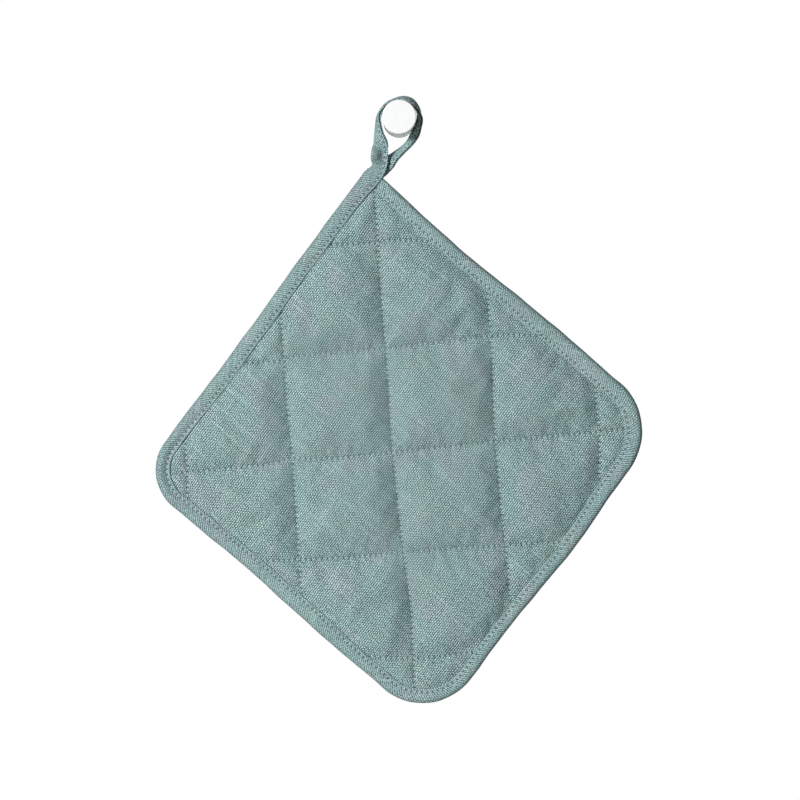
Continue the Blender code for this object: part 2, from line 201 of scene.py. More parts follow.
@dataclass
class Line:
    """A line on the face of the cloth, as points (x, z), with distances along it."""

    points: Array
    run: Array = field(init=False)

    def __post_init__(self) -> None:
        """Measures the line."""
        self.run = run_along(self.points)

    def at(self, run: Array) -> Array:
        """The points at distances along the line.

        Args:
            run: Distances from the line's start.

        Returns:
            Rows of x and z.
        """
        return np.stack([np.interp(run, self.run, self.points[:, k]) for k in range(2)], axis=1)

    def ahead(self, run: Array, step: float = 1.0) -> Array:
        """The unit directions of the line.

        Args:
            run: Distances from the line's start.
            step: How far to each side the direction is measured.

        Returns:
            Rows of x and z.
        """
        way = self.at(np.minimum(run + step, self.run[-1])) - self.at(np.maximum(run - step, 0.0))
        return way / np.linalg.norm(way, axis=1)[:, None]

    def near(self, points: Array) -> tuple[Array, Array]:
        """The nearest place on the line for each point.

        Args:
            points: Rows of x and z.

        Returns:
            The distance to the line, positive to the right of its way along, and the distance
            along it.
        """
        start, way = self.points[:-1], np.diff(self.points, axis=0)
        size = np.maximum((way**2).sum(axis=1), 1e-12)
        far, along = [], []
        for some in np.array_split(points, max(1, len(points) * len(start) // 2_000_000)):
            to = some[:, None] - start[None]
            t = np.clip((to * way).sum(axis=2) / size, 0.0, 1.0)
            left = to - t[..., None] * way
            apart = (left**2).sum(axis=2)
            best = apart.argmin(axis=1)
            rows = np.arange(len(some))
            side = way[best, 1] * to[rows, best, 0] - way[best, 0] * to[rows, best, 1]
            far.append(np.sqrt(apart[rows, best]) * np.where(side >= 0, 1.0, -1.0))
            along.append(self.run[best] + t[rows, best] * np.sqrt(size[best]))
        return np.concatenate(far), np.concatenate(along)


# ---------------------------------------------------------------------------------------------
# The pot holder's outline and its quilting


@dataclass(frozen=True)
class Corner:
    """Where two sides of the square meet, and the radius of the round there."""

    x: float
    z: float
    radius: float


@dataclass(frozen=True)
class Side:
    """How far a side of the square bows outwards, and its S-shaped waver."""

    bow: float
    waver: float


@dataclass(frozen=True)
class Flap:
    """How far the folded tape reaches in from the edge, at a fraction of a side."""

    side: int
    fraction: float
    width: float


@dataclass
class BoundSquare:
    """The outer edge of the bound square, clockwise from the top corner as the room sees it."""

    corners: tuple[Corner, ...] = (
        Corner(-17.3, -25.4, 0.0),
        Corner(150.8, -170.6, 36.4),
        Corner(18.5, -345.4, 33.8),
        Corner(-147.6, -201.9, 27.2),
    )
    sides: tuple[Side, ...] = (Side(-1.16, -1.12), Side(1.40, 1.25), Side(-0.38, 0.75), Side(-0.22, -0.50))
    flaps: tuple[Flap, ...] = (
        Flap(0, 0.00, 9.4),
        Flap(0, 0.12, 8.5),
        Flap(0, 0.45, 8.6),
        Flap(0, 0.75, 10.6),
        Flap(1, 0.10, 9.4),
        Flap(1, 0.45, 7.6),
        Flap(1, 0.85, 7.8),
        Flap(2, 0.10, 8.2),
        Flap(2, 0.35, 9.7),
        Flap(2, 0.75, 9.0),
        Flap(3, 0.00, 8.2),
        Flap(3, 0.25, 9.0),
        Flap(3, 0.60, 8.7),
        Flap(3, 0.88, 8.9),
        Flap(3, 1.00, 10.6),
    )
    # Beside the sharp top corner the rows inside the edge fan out over this length.
    fan: float = 26.0
    edge: Line = field(init=False)
    length: float = field(init=False)
    flap_run: Array = field(init=False)
    flap_width: Array = field(init=False)

    def __post_init__(self) -> None:
        """Lays out the edge and the table of the tape's reach."""
        points: list[Array] = []
        marks: list[tuple[int, float]] = []
        rounds = [self.rounding(i) for i in range(4)]
        share = np.linspace(0.0, 1.0, 201)
        for i, side in enumerate(self.sides):
            start, end = rounds[i][1], rounds[(i + 1) % 4][0]
            way = end - start
            outward = np.array([-way[1], way[0]]) / np.linalg.norm(way)
            wave = np.sin(math.pi * share)
            off = side.bow * wave**2 + side.waver * np.sin(2 * math.pi * share) * wave
            points.extend(start + way * share[:, None] + outward * off[:, None])
            marks.extend((i, float(t)) for t in share)
            points.extend(self.arc((i + 1) % 4, end, rounds[(i + 1) % 4][1]))
            marks.extend([(i, 1.0)] * (len(points) - len(marks)))
        line = np.array(points)
        keep = np.concatenate([[True], np.linalg.norm(np.diff(line, axis=0), axis=1) > 1e-6])
        self.edge = Line(line[keep])
        self.length = float(self.edge.run[-1])
        kept = [mark for mark, good in zip(marks, keep) if good]
        runs = []
        for flap in self.flaps:
            own = [j for j, (side, _) in enumerate(kept) if side == flap.side]
            nearest = min(own, key=lambda j: abs(kept[j][1] - flap.fraction))
            runs.append(float(self.edge.run[nearest]))
        self.flap_run = np.array([*runs[:-1], self.length])
        self.flap_width = np.array([flap.width for flap in self.flaps])

    def rounding(self, i: int) -> tuple[Array, Array]:
        """Where a corner's round starts and ends.

        Args:
            i: The corner's number.

        Returns:
            Two points, both the corner itself where it is sharp.
        """
        at = np.array([self.corners[i].x, self.corners[i].z])
        back = np.array([self.corners[i - 1].x, self.corners[i - 1].z]) - at
        ahead = np.array([self.corners[(i + 1) % 4].x, self.corners[(i + 1) % 4].z]) - at
        back /= np.linalg.norm(back)
        ahead /= np.linalg.norm(ahead)
        reach = self.corners[i].radius / math.tan(math.acos(float(back @ ahead)) / 2)
        return at + back * reach, at + ahead * reach

    def arc(self, i: int, start: Array, end: Array, pieces: int = 48) -> list[Array]:
        """The points of a corner's round.

        Args:
            i: The corner's number.
            start: Where the round starts.
            end: Where it ends.
            pieces: How many straight pieces stand for it.

        Returns:
            The points between start and end.
        """
        radius = self.corners[i].radius
        if radius == 0.0:
            return []
        at = np.array([self.corners[i].x, self.corners[i].z])
        inward = (start + end) / 2 - at
        inward /= np.linalg.norm(inward)
        centre = at + inward * math.hypot(radius, float(np.linalg.norm(start - at)))
        first = math.atan2(*(start - centre)[::-1])
        turn = (math.atan2(*(end - centre)[::-1]) - first + math.pi) % (2 * math.pi) - math.pi
        angles = [first + turn * k / pieces for k in range(1, pieces)]
        return [centre + radius * np.array([math.cos(a), math.sin(a)]) for a in angles]

    def width(self, run: Array) -> Array:
        """How far the tape reaches in from the edge.

        Args:
            run: Distances along the edge.

        Returns:
            The widths.
        """
        k = np.clip(np.searchsorted(self.flap_run, run) - 1, 0, len(self.flap_run) - 2)
        part = smooth((run - self.flap_run[k]) / (self.flap_run[k + 1] - self.flap_run[k]))
        return self.flap_width[k] * (1 - part) + self.flap_width[k + 1] * part

    def inward(self, run: Array) -> Array:
        """The unit directions into the pad.

        Args:
            run: Distances along the edge.

        Returns:
            Rows of x and z.
        """
        ahead = self.edge.ahead(run)
        return np.stack([ahead[:, 1], -ahead[:, 0]], axis=1)

    def inset(self, run: Array, share: float, extra: float) -> Array:
        """Points inside the edge; they fan out from the sharp top corner.

        Args:
            run: Distances along the edge.
            share: How much of the tape's width to go in.
            extra: How much further to go in.

        Returns:
            Rows of x and z.
        """
        width = self.width(run)
        depth = width * share + extra
        first = np.maximum(1.0 - run / self.fan, 0.0) * self.flap_width[-1]
        last = np.maximum(1.0 - (self.length - run) / self.fan, 0.0) * self.flap_width[0]
        reach = self.inward(run) * width[:, None] + self.edge.ahead(run) * (first - last)[:, None]
        return self.edge.at(run) + reach * (depth / width)[:, None]

    def ring(self, share: float, extra: float, step: float) -> Array:
        """An even row of points inside the edge, all round.

        Args:
            share: How much of the tape's width to go in.
            extra: How much further to go in.
            step: The distance between two points.

        Returns:
            Rows of x and z.
        """
        count = round(self.length / step)
        run = (np.arange(count) + 0.5) * self.length / count
        return self.inset(run, share, extra)


@dataclass
class Quilt:
    """The seams that divide the pad, its middle surface and how thick it is at each place."""

    square: BoundSquare
    upright: Seams = (
        ((-121.1, -184.8), (-119.9, -197.0), (-119.9, -209.2)),
        (
            (-66.9, -111.1),
            (-64.9, -138.0),
            (-63.4, -161.0),
            (-61.3, -181.0),
            (-59.6, -203.0),
            (-55.6, -264.8),
        ),
        (
            (-13.9, -40.3),
            (-9.3, -109.0),
            (-6.7, -140.0),
            (-4.2, -181.0),
            (-2.3, -200.0),
            (0.9, -231.0),
            (6.6, -276.0),
            (7.7, -296.0),
            (8.7, -316.6),
        ),
        (
            (49.9, -96.7),
            (52.9, -138.0),
            (53.4, -160.0),
            (55.0, -186.0),
            (57.9, -220.0),
            (61.2, -250.0),
            (62.8, -270.4),
        ),
        ((110.2, -146.8), (113.1, -176.0), (113.2, -207.5)),
    )
    level: Seams = (
        ((-38.9, -70.3), (-13.0, -69.2), (-8.6, -67.8), (16.7, -68.0)),
        (
            (-87.8, -136.9),
            (-65.0, -136.2),
            (-58.0, -133.3),
            (-11.5, -129.3),
            (58.5, -121.5),
            (82.0, -122.7),
        ),
        (
            (-118.7, -199.0),
            (-76.0, -194.8),
            (-60.0, -191.1),
            (-37.9, -191.2),
            (55.0, -181.8),
            (113.5, -176.0),
            (131.7, -174.1),
        ),
        ((-76.1, -249.5), (-28.0, -247.3), (2.4, -244.4), (62.2, -240.2), (92.3, -238.5)),
        ((-15.5, -303.4), (-0.5, -304.4), (19.0, -304.0), (40.1, -301.4)),
    )
    # How far a seam runs on under the tape, the length of a stitch and the width of a square.
    tail: float = 7.0
    stitch: float = 3.06
    squares: float = 59.0
    # How far the pad's middle hangs off the wall, and how each corner comes further forward: its
    # direction in x and z, where that starts, over what distance, to which power and how far.
    hang: float = 4.95
    lifts: tuple[tuple[float, ...], ...] = (
        (0.0, 1.0, -105.0, 80.0, 1.0, 0.75),
        (-1.0, 0.0, 70.0, 75.0, 2.0, 2.0),
        (1.0, 0.0, 70.0, 72.0, 2.0, 2.4),
        (0.0, -1.0, 250.0, 90.0, 2.0, 1.0),
    )
    # Half the pad's thickness at its rim, on a seam and in the middle of a square.
    edge_half: float = 1.7
    seam_half: float = 1.55
    crest_half: float = 5.3
    # How it rises off a seam: how far it takes, and how round the start is.
    right_rise: tuple[float, float] = (9.0, 1.0)
    left_rise: tuple[float, float] = (5.4, 1.3)
    upper_rise: tuple[float, float] = (7.5, 1.35)
    lower_rise: tuple[float, float] = (8.4, 1.0)
    border_reach: float = 5.5
    # The cloth sinks along the thread, and most where the needle went through.
    groove: float = 0.22
    groove_reach: float = 0.85
    pucker: float = 0.10
    pucker_reach: float = 1.5
    uneven: float = 0.35
    uneven_length: float = 17.0
    # How far the painted shade round the needle holes reaches.
    needle_shade_reach: float = 0.52
    # The thin corner under the lapped ends of the tape.
    corner_half: float = 0.6
    corner_reach: float = 17.0
    # Round the left corner the tape's stitches pull deepest.
    tight_corner: tuple[float, float] = (-128.0, -202.0)
    tight_reach: float = 30.0
    tight_depth: float = 1.45
    # The tape's stitches lie this far under its inner edge, and pull the pad in this far around.
    tape_seam: float = 1.9
    pull_reach: float = 1.3
    least_half: float = 0.5
    upright_lines: list[Line] = field(init=False)
    level_lines: list[Line] = field(init=False)
    inner: Line = field(init=False)

    def __post_init__(self) -> None:
        """Draws the seams and the inner edge of the tape."""
        self.upright_lines = [self.seam_line(points) for points in self.upright]
        self.level_lines = [self.seam_line(points) for points in self.level]
        ring = self.square.ring(1.0, 0.3, 2.0)
        self.inner = Line(np.vstack([ring, ring[:1]]))

    @property
    def seams(self) -> list[Line]:
        """All the seams, the upright ones first."""
        return [*self.upright_lines, *self.level_lines]

    def seam_line(self, points: Sequence[tuple[float, float]]) -> Line:
        """A seam through its points and on under the tape at both ends.

        Args:
            points: Points (x, z) that the seam passes.

        Returns:
            The smooth line.
        """
        given = np.array(points, float)
        before, after = given[0] - given[1], given[-1] - given[-2]
        start = given[0] + before * self.tail / np.linalg.norm(before)
        end = given[-1] + after * self.tail / np.linalg.norm(after)
        return Line(through(np.vstack([start, given, end])))

    def inside(self, points: Array) -> Array:
        """How far points lie inside the tape's inner edge, negative under the tape.

        Args:
            points: Rows of x and z.

        Returns:
            The distances.
        """
        line = self.inner.points
        x, z = points[:, :1], points[:, 1:]
        start, end = line[:-1], line[1:]
        crosses = (start[:, 1] > z) != (end[:, 1] > z)
        rise = np.where(np.abs(end[:, 1] - start[:, 1]) < 1e-9, 1e-9, end[:, 1] - start[:, 1])
        at_x = start[:, 0] + (z - start[:, 1]) * (end[:, 0] - start[:, 0]) / rise
        within = (crosses & (x < at_x)).sum(axis=1) % 2 == 1
        return np.abs(self.inner.near(points)[0]) * np.where(within, 1.0, -1.0)

    def middle(self, points: Array) -> Array:
        """The y of the middle surface: nearly flat, with its corners off the wall.

        Args:
            points: Rows of x and z.

        Returns:
            One y for each point.
        """
        y = np.full(len(points), -self.hang)
        for way_x, way_z, start, reach, power, rise in self.lifts:
            along = way_x * points[:, 0] + way_z * points[:, 1]
            y -= smooth((along - start) / reach) ** power * rise
        return y

    def half(self, points: Array) -> Array:
        """Half the pad's thickness: thin at the border and the seams, full between them.

        Args:
            points: Rows of x and z.

        Returns:
            One half thickness for each point.
        """
        within = self.inside(points)
        rise = np.ones(len(points))
        for lines, first, second in (
            (self.upright_lines, self.right_rise, self.left_rise),
            (self.level_lines, self.upper_rise, self.lower_rise),
        ):
            for line in lines:
                far = line.near(points)[0]
                reach = np.where(far < 0.0, first[0], second[0])
                power = np.where(far < 0.0, first[1], second[1])
                rise *= 1.0 - np.exp(-((np.abs(far) / reach) ** power))
        full = 1.0
        for reach, power in (self.right_rise, self.left_rise, self.upper_rise, self.lower_rise):
            full *= 1.0 - math.exp(-((self.squares / 2 / reach) ** power))
        crest = self.seam_half + (self.crest_half - self.seam_half) * np.minimum(rise / full, 1.0)
        corner = np.linalg.norm(points - self.square.edge.points[0], axis=1)
        off_corner = smooth(corner / self.corner_reach - 0.2)
        edge = self.corner_half + (self.edge_half - self.corner_half) * off_corner
        half = edge + (crest - edge) * (1.0 - np.exp(-np.maximum(within, 0.0) / self.border_reach))
        pulled = self.tightness(points) * bell(within + self.tape_seam, self.pull_reach)
        return np.maximum(half - pulled, self.least_half)

    def tightness(self, points: Array) -> Array:
        """How much deeper than elsewhere the tape's stitches pull in.

        Args:
            points: Rows of x and z.

        Returns:
            One depth for each point.
        """
        far = np.linalg.norm(points - np.array(self.tight_corner), axis=1)
        return self.tight_depth * bell(far, self.tight_reach)

    def needle(self, line: Line) -> Array:
        """Where the needle went through along a seam.

        Args:
            line: The seam.

        Returns:
            Distances along it.
        """
        count = int((line.run[-1] - self.stitch) // self.stitch)
        return 0.5 * (line.run[-1] - count * self.stitch) + np.arange(count + 1) * self.stitch

    def relief(self, points: Array) -> tuple[Array, Array]:
        """How far the thread pulls the cloth in, and how near each point is to where the needle went
        through.

        Args:
            points: Rows of x and z.

        Returns:
            The depth of the groove and its puckers in millimetres, and a number from 0 to 1 that sets the
            painted shade round the needle holes.
        """
        depth, holes = np.zeros(len(points)), np.zeros(len(points))
        for line in self.seams:
            far, run = line.near(points)
            far = np.abs(far)
            phase = 2.0 * math.pi * (run - self.needle(line)[0]) / self.stitch
            uneven = 1.0 + self.uneven * wander(run, self.uneven_length, line.run[-1])
            depth += self.groove * bell(far, self.groove_reach)
            depth += self.pucker * uneven * np.cos(phase) * np.exp(-far / self.pucker_reach)
            along = np.abs((phase / math.pi + 1.0) % 2.0 - 1.0) * self.stitch / 2
            # Painted shade: a dark spot is painted round the needle holes.
            holes = np.maximum(holes, bell(np.hypot(far, along), self.needle_shade_reach))
        return depth, holes


# ---------------------------------------------------------------------------------------------
# The quilted pad


class Spread:
    """Points kept at least a given distance apart, in the order in which they are offered."""

    def __init__(self, cell: float) -> None:
        """Starts with no points.

        Args:
            cell: The widest gap that will be asked for.
        """
        self.cell = cell
        self.points: list[tuple[float, float]] = []
        self.cells: dict[tuple[int, int], list[tuple[float, float]]] = {}

    def offer(self, points: Array, gap: float) -> list[int]:
        """Takes the points that are far enough from all those it holds.

        Args:
            points: Rows of x and z.
            gap: The least distance to keep.

        Returns:
            The number that each point has in the whole, or -1 if it was left out.
        """
        numbers = []
        for x, z in np.asarray(points, float).tolist():
            i, j = math.floor(x / self.cell), math.floor(z / self.cell)
            block = [(a, b) for a in (i - 1, i, i + 1) for b in (j - 1, j, j + 1)]
            near = (p for cell in block for p in self.cells.get(cell, ()))
            if any((x - p[0]) ** 2 + (z - p[1]) ** 2 < gap * gap for p in near):
                numbers.append(-1)
                continue
            numbers.append(len(self.points))
            self.points.append((x, z))
            self.cells.setdefault((i, j), []).append((x, z))
        return numbers


@dataclass
class Net:
    """A flat net of triangles that the pad's two faces share, closest along the seams.

    A ring is a share of the tape's width and a distance further in. The seam step is how many
    points a stitch has, and the seam rows are the distances of the rows beside a seam.
    """

    quilt: Quilt
    edge_step: float
    rings: tuple[tuple[float, float], ...]
    seam_step: int
    seam_rows: tuple[float, ...]
    fill_step: float
    points: Array = field(init=False)
    triangles: list[list[int]] = field(init=False)
    rim: list[int] = field(init=False)
    sewn: Array = field(init=False)

    def __post_init__(self) -> None:
        """Lays the rows of points and joins them."""
        square = self.quilt.square
        spread = Spread(self.fill_step)
        rim = spread.offer(square.ring(0.0, 1.6, self.edge_step), 0.0)
        edges = [(a, b) for a, b in zip(rim, rim[1:] + rim[:1])]
        step = self.quilt.stitch / self.seam_step
        for line in self.quilt.seams:
            edges.extend(self.seam_edges(spread, line, step))
        sewn = len(spread.points)
        for share, extra in self.rings:
            spread.offer(square.ring(share, extra, self.edge_step), 0.5 * self.edge_step)
        bordered = len(spread.points)
        for row in self.seam_rows:
            for line in self.quilt.seams:
                first = self.quilt.needle(line)[0] % step
                run = np.arange(first, line.run[-1], step)
                aside = line.ahead(run)[:, ::-1] * np.array([1.0, -1.0])
                for sign in (-row, row):
                    points = line.at(run) + aside * sign
                    spread.offer(points[self.quilt.inside(points) > 0.5], 0.8 * min(step, row))
        self.fill(spread)
        found, _, faces, origins, _, _ = delaunay_2d_cdt(spread.points, edges, [], 1, 1e-5)
        old = np.array([origin[0] if origin else -1 for origin in origins])
        where = {k: i for i, k in enumerate(old.tolist())}
        self.points = np.array([tuple(point) for point in found])
        self.triangles = [list(face) for face in faces]
        self.rim = [where[k] for k in rim]
        under = self.quilt.inside(self.points) < 0.4
        self.sewn = (old < sewn) | under & (old < bordered)

    def seam_edges(self, spread: Spread, line: Line, step: float) -> list[tuple[int, int]]:
        """Puts points on a seam and joins them, so that the seam is a line of the net.

        Args:
            spread: Takes the points.
            line: The seam.
            step: The distance between two of its points.

        Returns:
            Pairs of neighbouring points.
        """
        first = self.quilt.needle(line)[0] % step
        run = np.arange(first, line.run[-1], step)
        points = line.at(run)
        numbers = spread.offer(points[self.quilt.inside(points) > -3.0], 0.45 * step)
        kept = [n for n in numbers if n >= 0]
        return [(a, b) for a, b in zip(kept, kept[1:]) if b == a + 1]

    def fill(self, spread: Spread) -> None:
        """Fills the rest with an even staggered grid.

        Args:
            spread: Takes the points.
        """
        low, high = self.quilt.inner.points.min(axis=0), self.quilt.inner.points.max(axis=0)
        rise = self.fill_step * math.sqrt(0.75)
        for j, z in enumerate(np.arange(low[1], high[1], rise)):
            x = np.arange(low[0] + 0.5 * self.fill_step * (j % 2), high[0], self.fill_step)
            row = np.stack([x, np.full(len(x), z)], axis=1)
            spread.offer(row[self.quilt.inside(row) > 1.0], 0.8 * self.fill_step)

    def shell(self, front: Array, back: Array) -> tuple[Array, list[list[int]]]:
        """The closed surface of the pad: its front, its back and the rim between them.

        Args:
            front: Points of the front face, in the net's order.
            back: Points of the back face.

        Returns:
            All the points, and the faces.
        """
        count = len(self.points)
        faces = [list(face) for face in self.triangles]
        faces += [[count + k for k in reversed(face)] for face in self.triangles]
        for a, b in zip(self.rim, self.rim[1:] + self.rim[:1]):
            faces.append([a, b, count + b, count + a])
        return np.vstack([front, back]), faces


@dataclass
class QuiltedPad:
    """Face cloth, wadding and back cloth, sewn through in squares of about 59 mm."""

    quilt: Quilt
    # The push of the wadding, the cloth's slack, the most that it may move in millimetres, and the
    # frames in which it settles.
    pressure: float = 4.0
    slack: float = 0.018
    most: float = 1.6
    frames: int = 20
    # The least distance from the wall, and how softly the back meets it.
    wall_gap: float = 0.1
    wall_soft: float = 0.3
    name: str = "quilted_pad_linen"
    net: Net = field(init=False)

    def __post_init__(self) -> None:
        """Lays the fine net of the finished cloth."""
        self.net = Net(
            self.quilt,
            edge_step=1.6,
            rings=((0.5, 0.0), (1.0, -1.9), (1.0, -0.9), (1.0, 0.2), (1.0, 1.1), (1.0, 2.1), (1.0, 3.4)),
            seam_step=4,
            seam_rows=(0.45, 1.0, 1.8, 2.9),
            fill_step=2.1,
        )

    def trial_net(self) -> Net:
        """The coarser net that the simulation runs on."""
        return Net(
            self.quilt,
            edge_step=4.0,
            rings=((1.0, 0.2), (1.0, 3.4)),
            seam_step=1,
            seam_rows=(3.0,),
            fill_step=3.4,
        )

    def faces_of(self, net: Net) -> tuple[Array, Array]:
        """The two faces of the pad before it is blown up, with no stitches in them.

        Args:
            net: The net to lift.

        Returns:
            Points of the front and of the back, in millimetres.
        """
        middle, half = self.quilt.middle(net.points), self.quilt.half(net.points)
        x, z = net.points[:, 0], net.points[:, 1]
        return np.stack([x, middle - half, z], axis=1), np.stack([x, middle + half, z], axis=1)

    def blow_up(self, net: Net) -> tuple[Array, Array]:
        """Lets the wadding push the cloth out between the seams, by cloth simulation.

        Args:
            net: The coarse net.

        Returns:
            How far each point of the front and of the back moved, in millimetres.
        """
        front, back = self.faces_of(net)
        points, faces = net.shell(front, back)
        trial = new_piece("pad_trial", points, faces)
        sewn = trial.vertex_groups.new(name="sewn")
        sewn.add(np.flatnonzero(np.concatenate([net.sewn, net.sewn])).tolist(), 1.0, "REPLACE")
        cloth = trial.modifiers.new("cloth", "CLOTH")
        cloth.settings.vertex_group_mass = sewn.name
        cloth.settings.use_pressure = True
        cloth.settings.uniform_pressure_force = self.pressure
        cloth.settings.effector_weights.gravity = 0.0
        cloth.settings.shrink_min = -self.slack
        cloth.settings.tension_stiffness = 12.0
        cloth.settings.compression_stiffness = 12.0
        cloth.settings.shear_stiffness = 4.0
        cloth.settings.bending_stiffness = 0.4
        cloth.collision_settings.use_collision = False
        for number in range(1, self.frames + 1):
            bpy.context.scene.frame_set(number)
        bpy.ops.object.select_all(action="DESELECT")
        bpy.context.view_layer.objects.active = trial
        trial.select_set(True)
        bpy.ops.object.modifier_apply(modifier=cloth.name)
        bpy.context.scene.frame_set(1)
        now = np.zeros(len(points) * 3, np.float32)
        trial.data.vertices.foreach_get("co", now)
        moved = now.reshape(-1, 3) / MM - points
        bpy.data.objects.remove(trial)
        size = np.linalg.norm(moved, axis=1)[:, None]
        moved *= np.minimum(1.0, self.most / np.maximum(size, 1e-9))
        log.info("blown up by %.2f mm at most, %.2f mm on average", size.max(), size.mean())
        return moved[: len(net.points)], moved[len(net.points) :]

    def spread_move(self, net: Net, moved: Sequence[Array]) -> list[Array]:
        """Carries the movement of the coarse net over to the fine one.

        Args:
            net: The coarse net.
            moved: The movements of its points.

        Returns:
            The same movements for the points of the fine net.
        """
        flat = [(x, 0.0, z) for x, z in net.points.tolist()]
        tree = BVHTree.FromPolygons(flat, net.triangles)
        corners, shares = [], []
        for x, z in self.net.points.tolist():
            at, _, index, _ = tree.find_nearest((x, 0.0, z))
            a, b, c = (np.array(flat[k])[[0, 2]] for k in net.triangles[index])
            v, w = np.linalg.solve(np.array([b - a, c - a]).T, np.array([at.x, at.z]) - a)
            corners.append(net.triangles[index])
            shares.append((1.0 - v - w, v, w))
        weights = np.array(shares)[..., None]
        return [(some[np.array(corners)] * weights).sum(axis=1) for some in moved]

    def against_wall(self, y: Array) -> Array:
        """Flattens the back where it leans on the wall, with a soft start.

        Args:
            y: The y of points of the back.

        Returns:
            The same where the cloth is clear of the wall, and never beyond the wall.
        """
        clear = (self.wall_gap + y) / self.wall_soft
        return -self.wall_gap - self.wall_soft * np.logaddexp(0.0, -clear)

    def build(self) -> bpy.types.Object:
        """The finished pad.

        Returns:
            The piece, with a mark of painted shade round the needle holes for its material.
        """
        front, back = self.faces_of(self.net)
        coarse = self.trial_net()
        push = self.spread_move(coarse, self.blow_up(coarse))
        front, back = front + push[0], back + push[1]
        depth, holes = self.quilt.relief(self.net.points)
        front[:, 1] += depth
        back[:, 1] -= depth
        back[:, 1] = self.against_wall(back[:, 1])
        piece = new_piece(self.name, *self.net.shell(front, back))
        # Painted shade round the needle holes, on both faces.
        mark_points(piece, "painted_shade", np.concatenate([holes, holes]))
        return piece


# ---------------------------------------------------------------------------------------------
# The tape: binding and hanging loop


@dataclass(frozen=True)
class Station:
    """A place on the hanging loop: its middle, its width and how it is turned.

    The turn is 90 degrees where the tape lies flat with its outer face to the room, 0 where it
    stands on edge and -90 where it lies flat with that face to the wall. The slant is how far
    the section is off square to the run.
    """

    x: float
    z: float
    y: float
    turn: float
    width: float = 8.8
    slant: float = 0.0


@dataclass(frozen=True)
class Dent:
    """A crease or a bulge of the loop's cloth: a line from start to end, its reach and depth."""

    start: tuple[float, float]
    end: tuple[float, float]
    reach: float
    depth: float


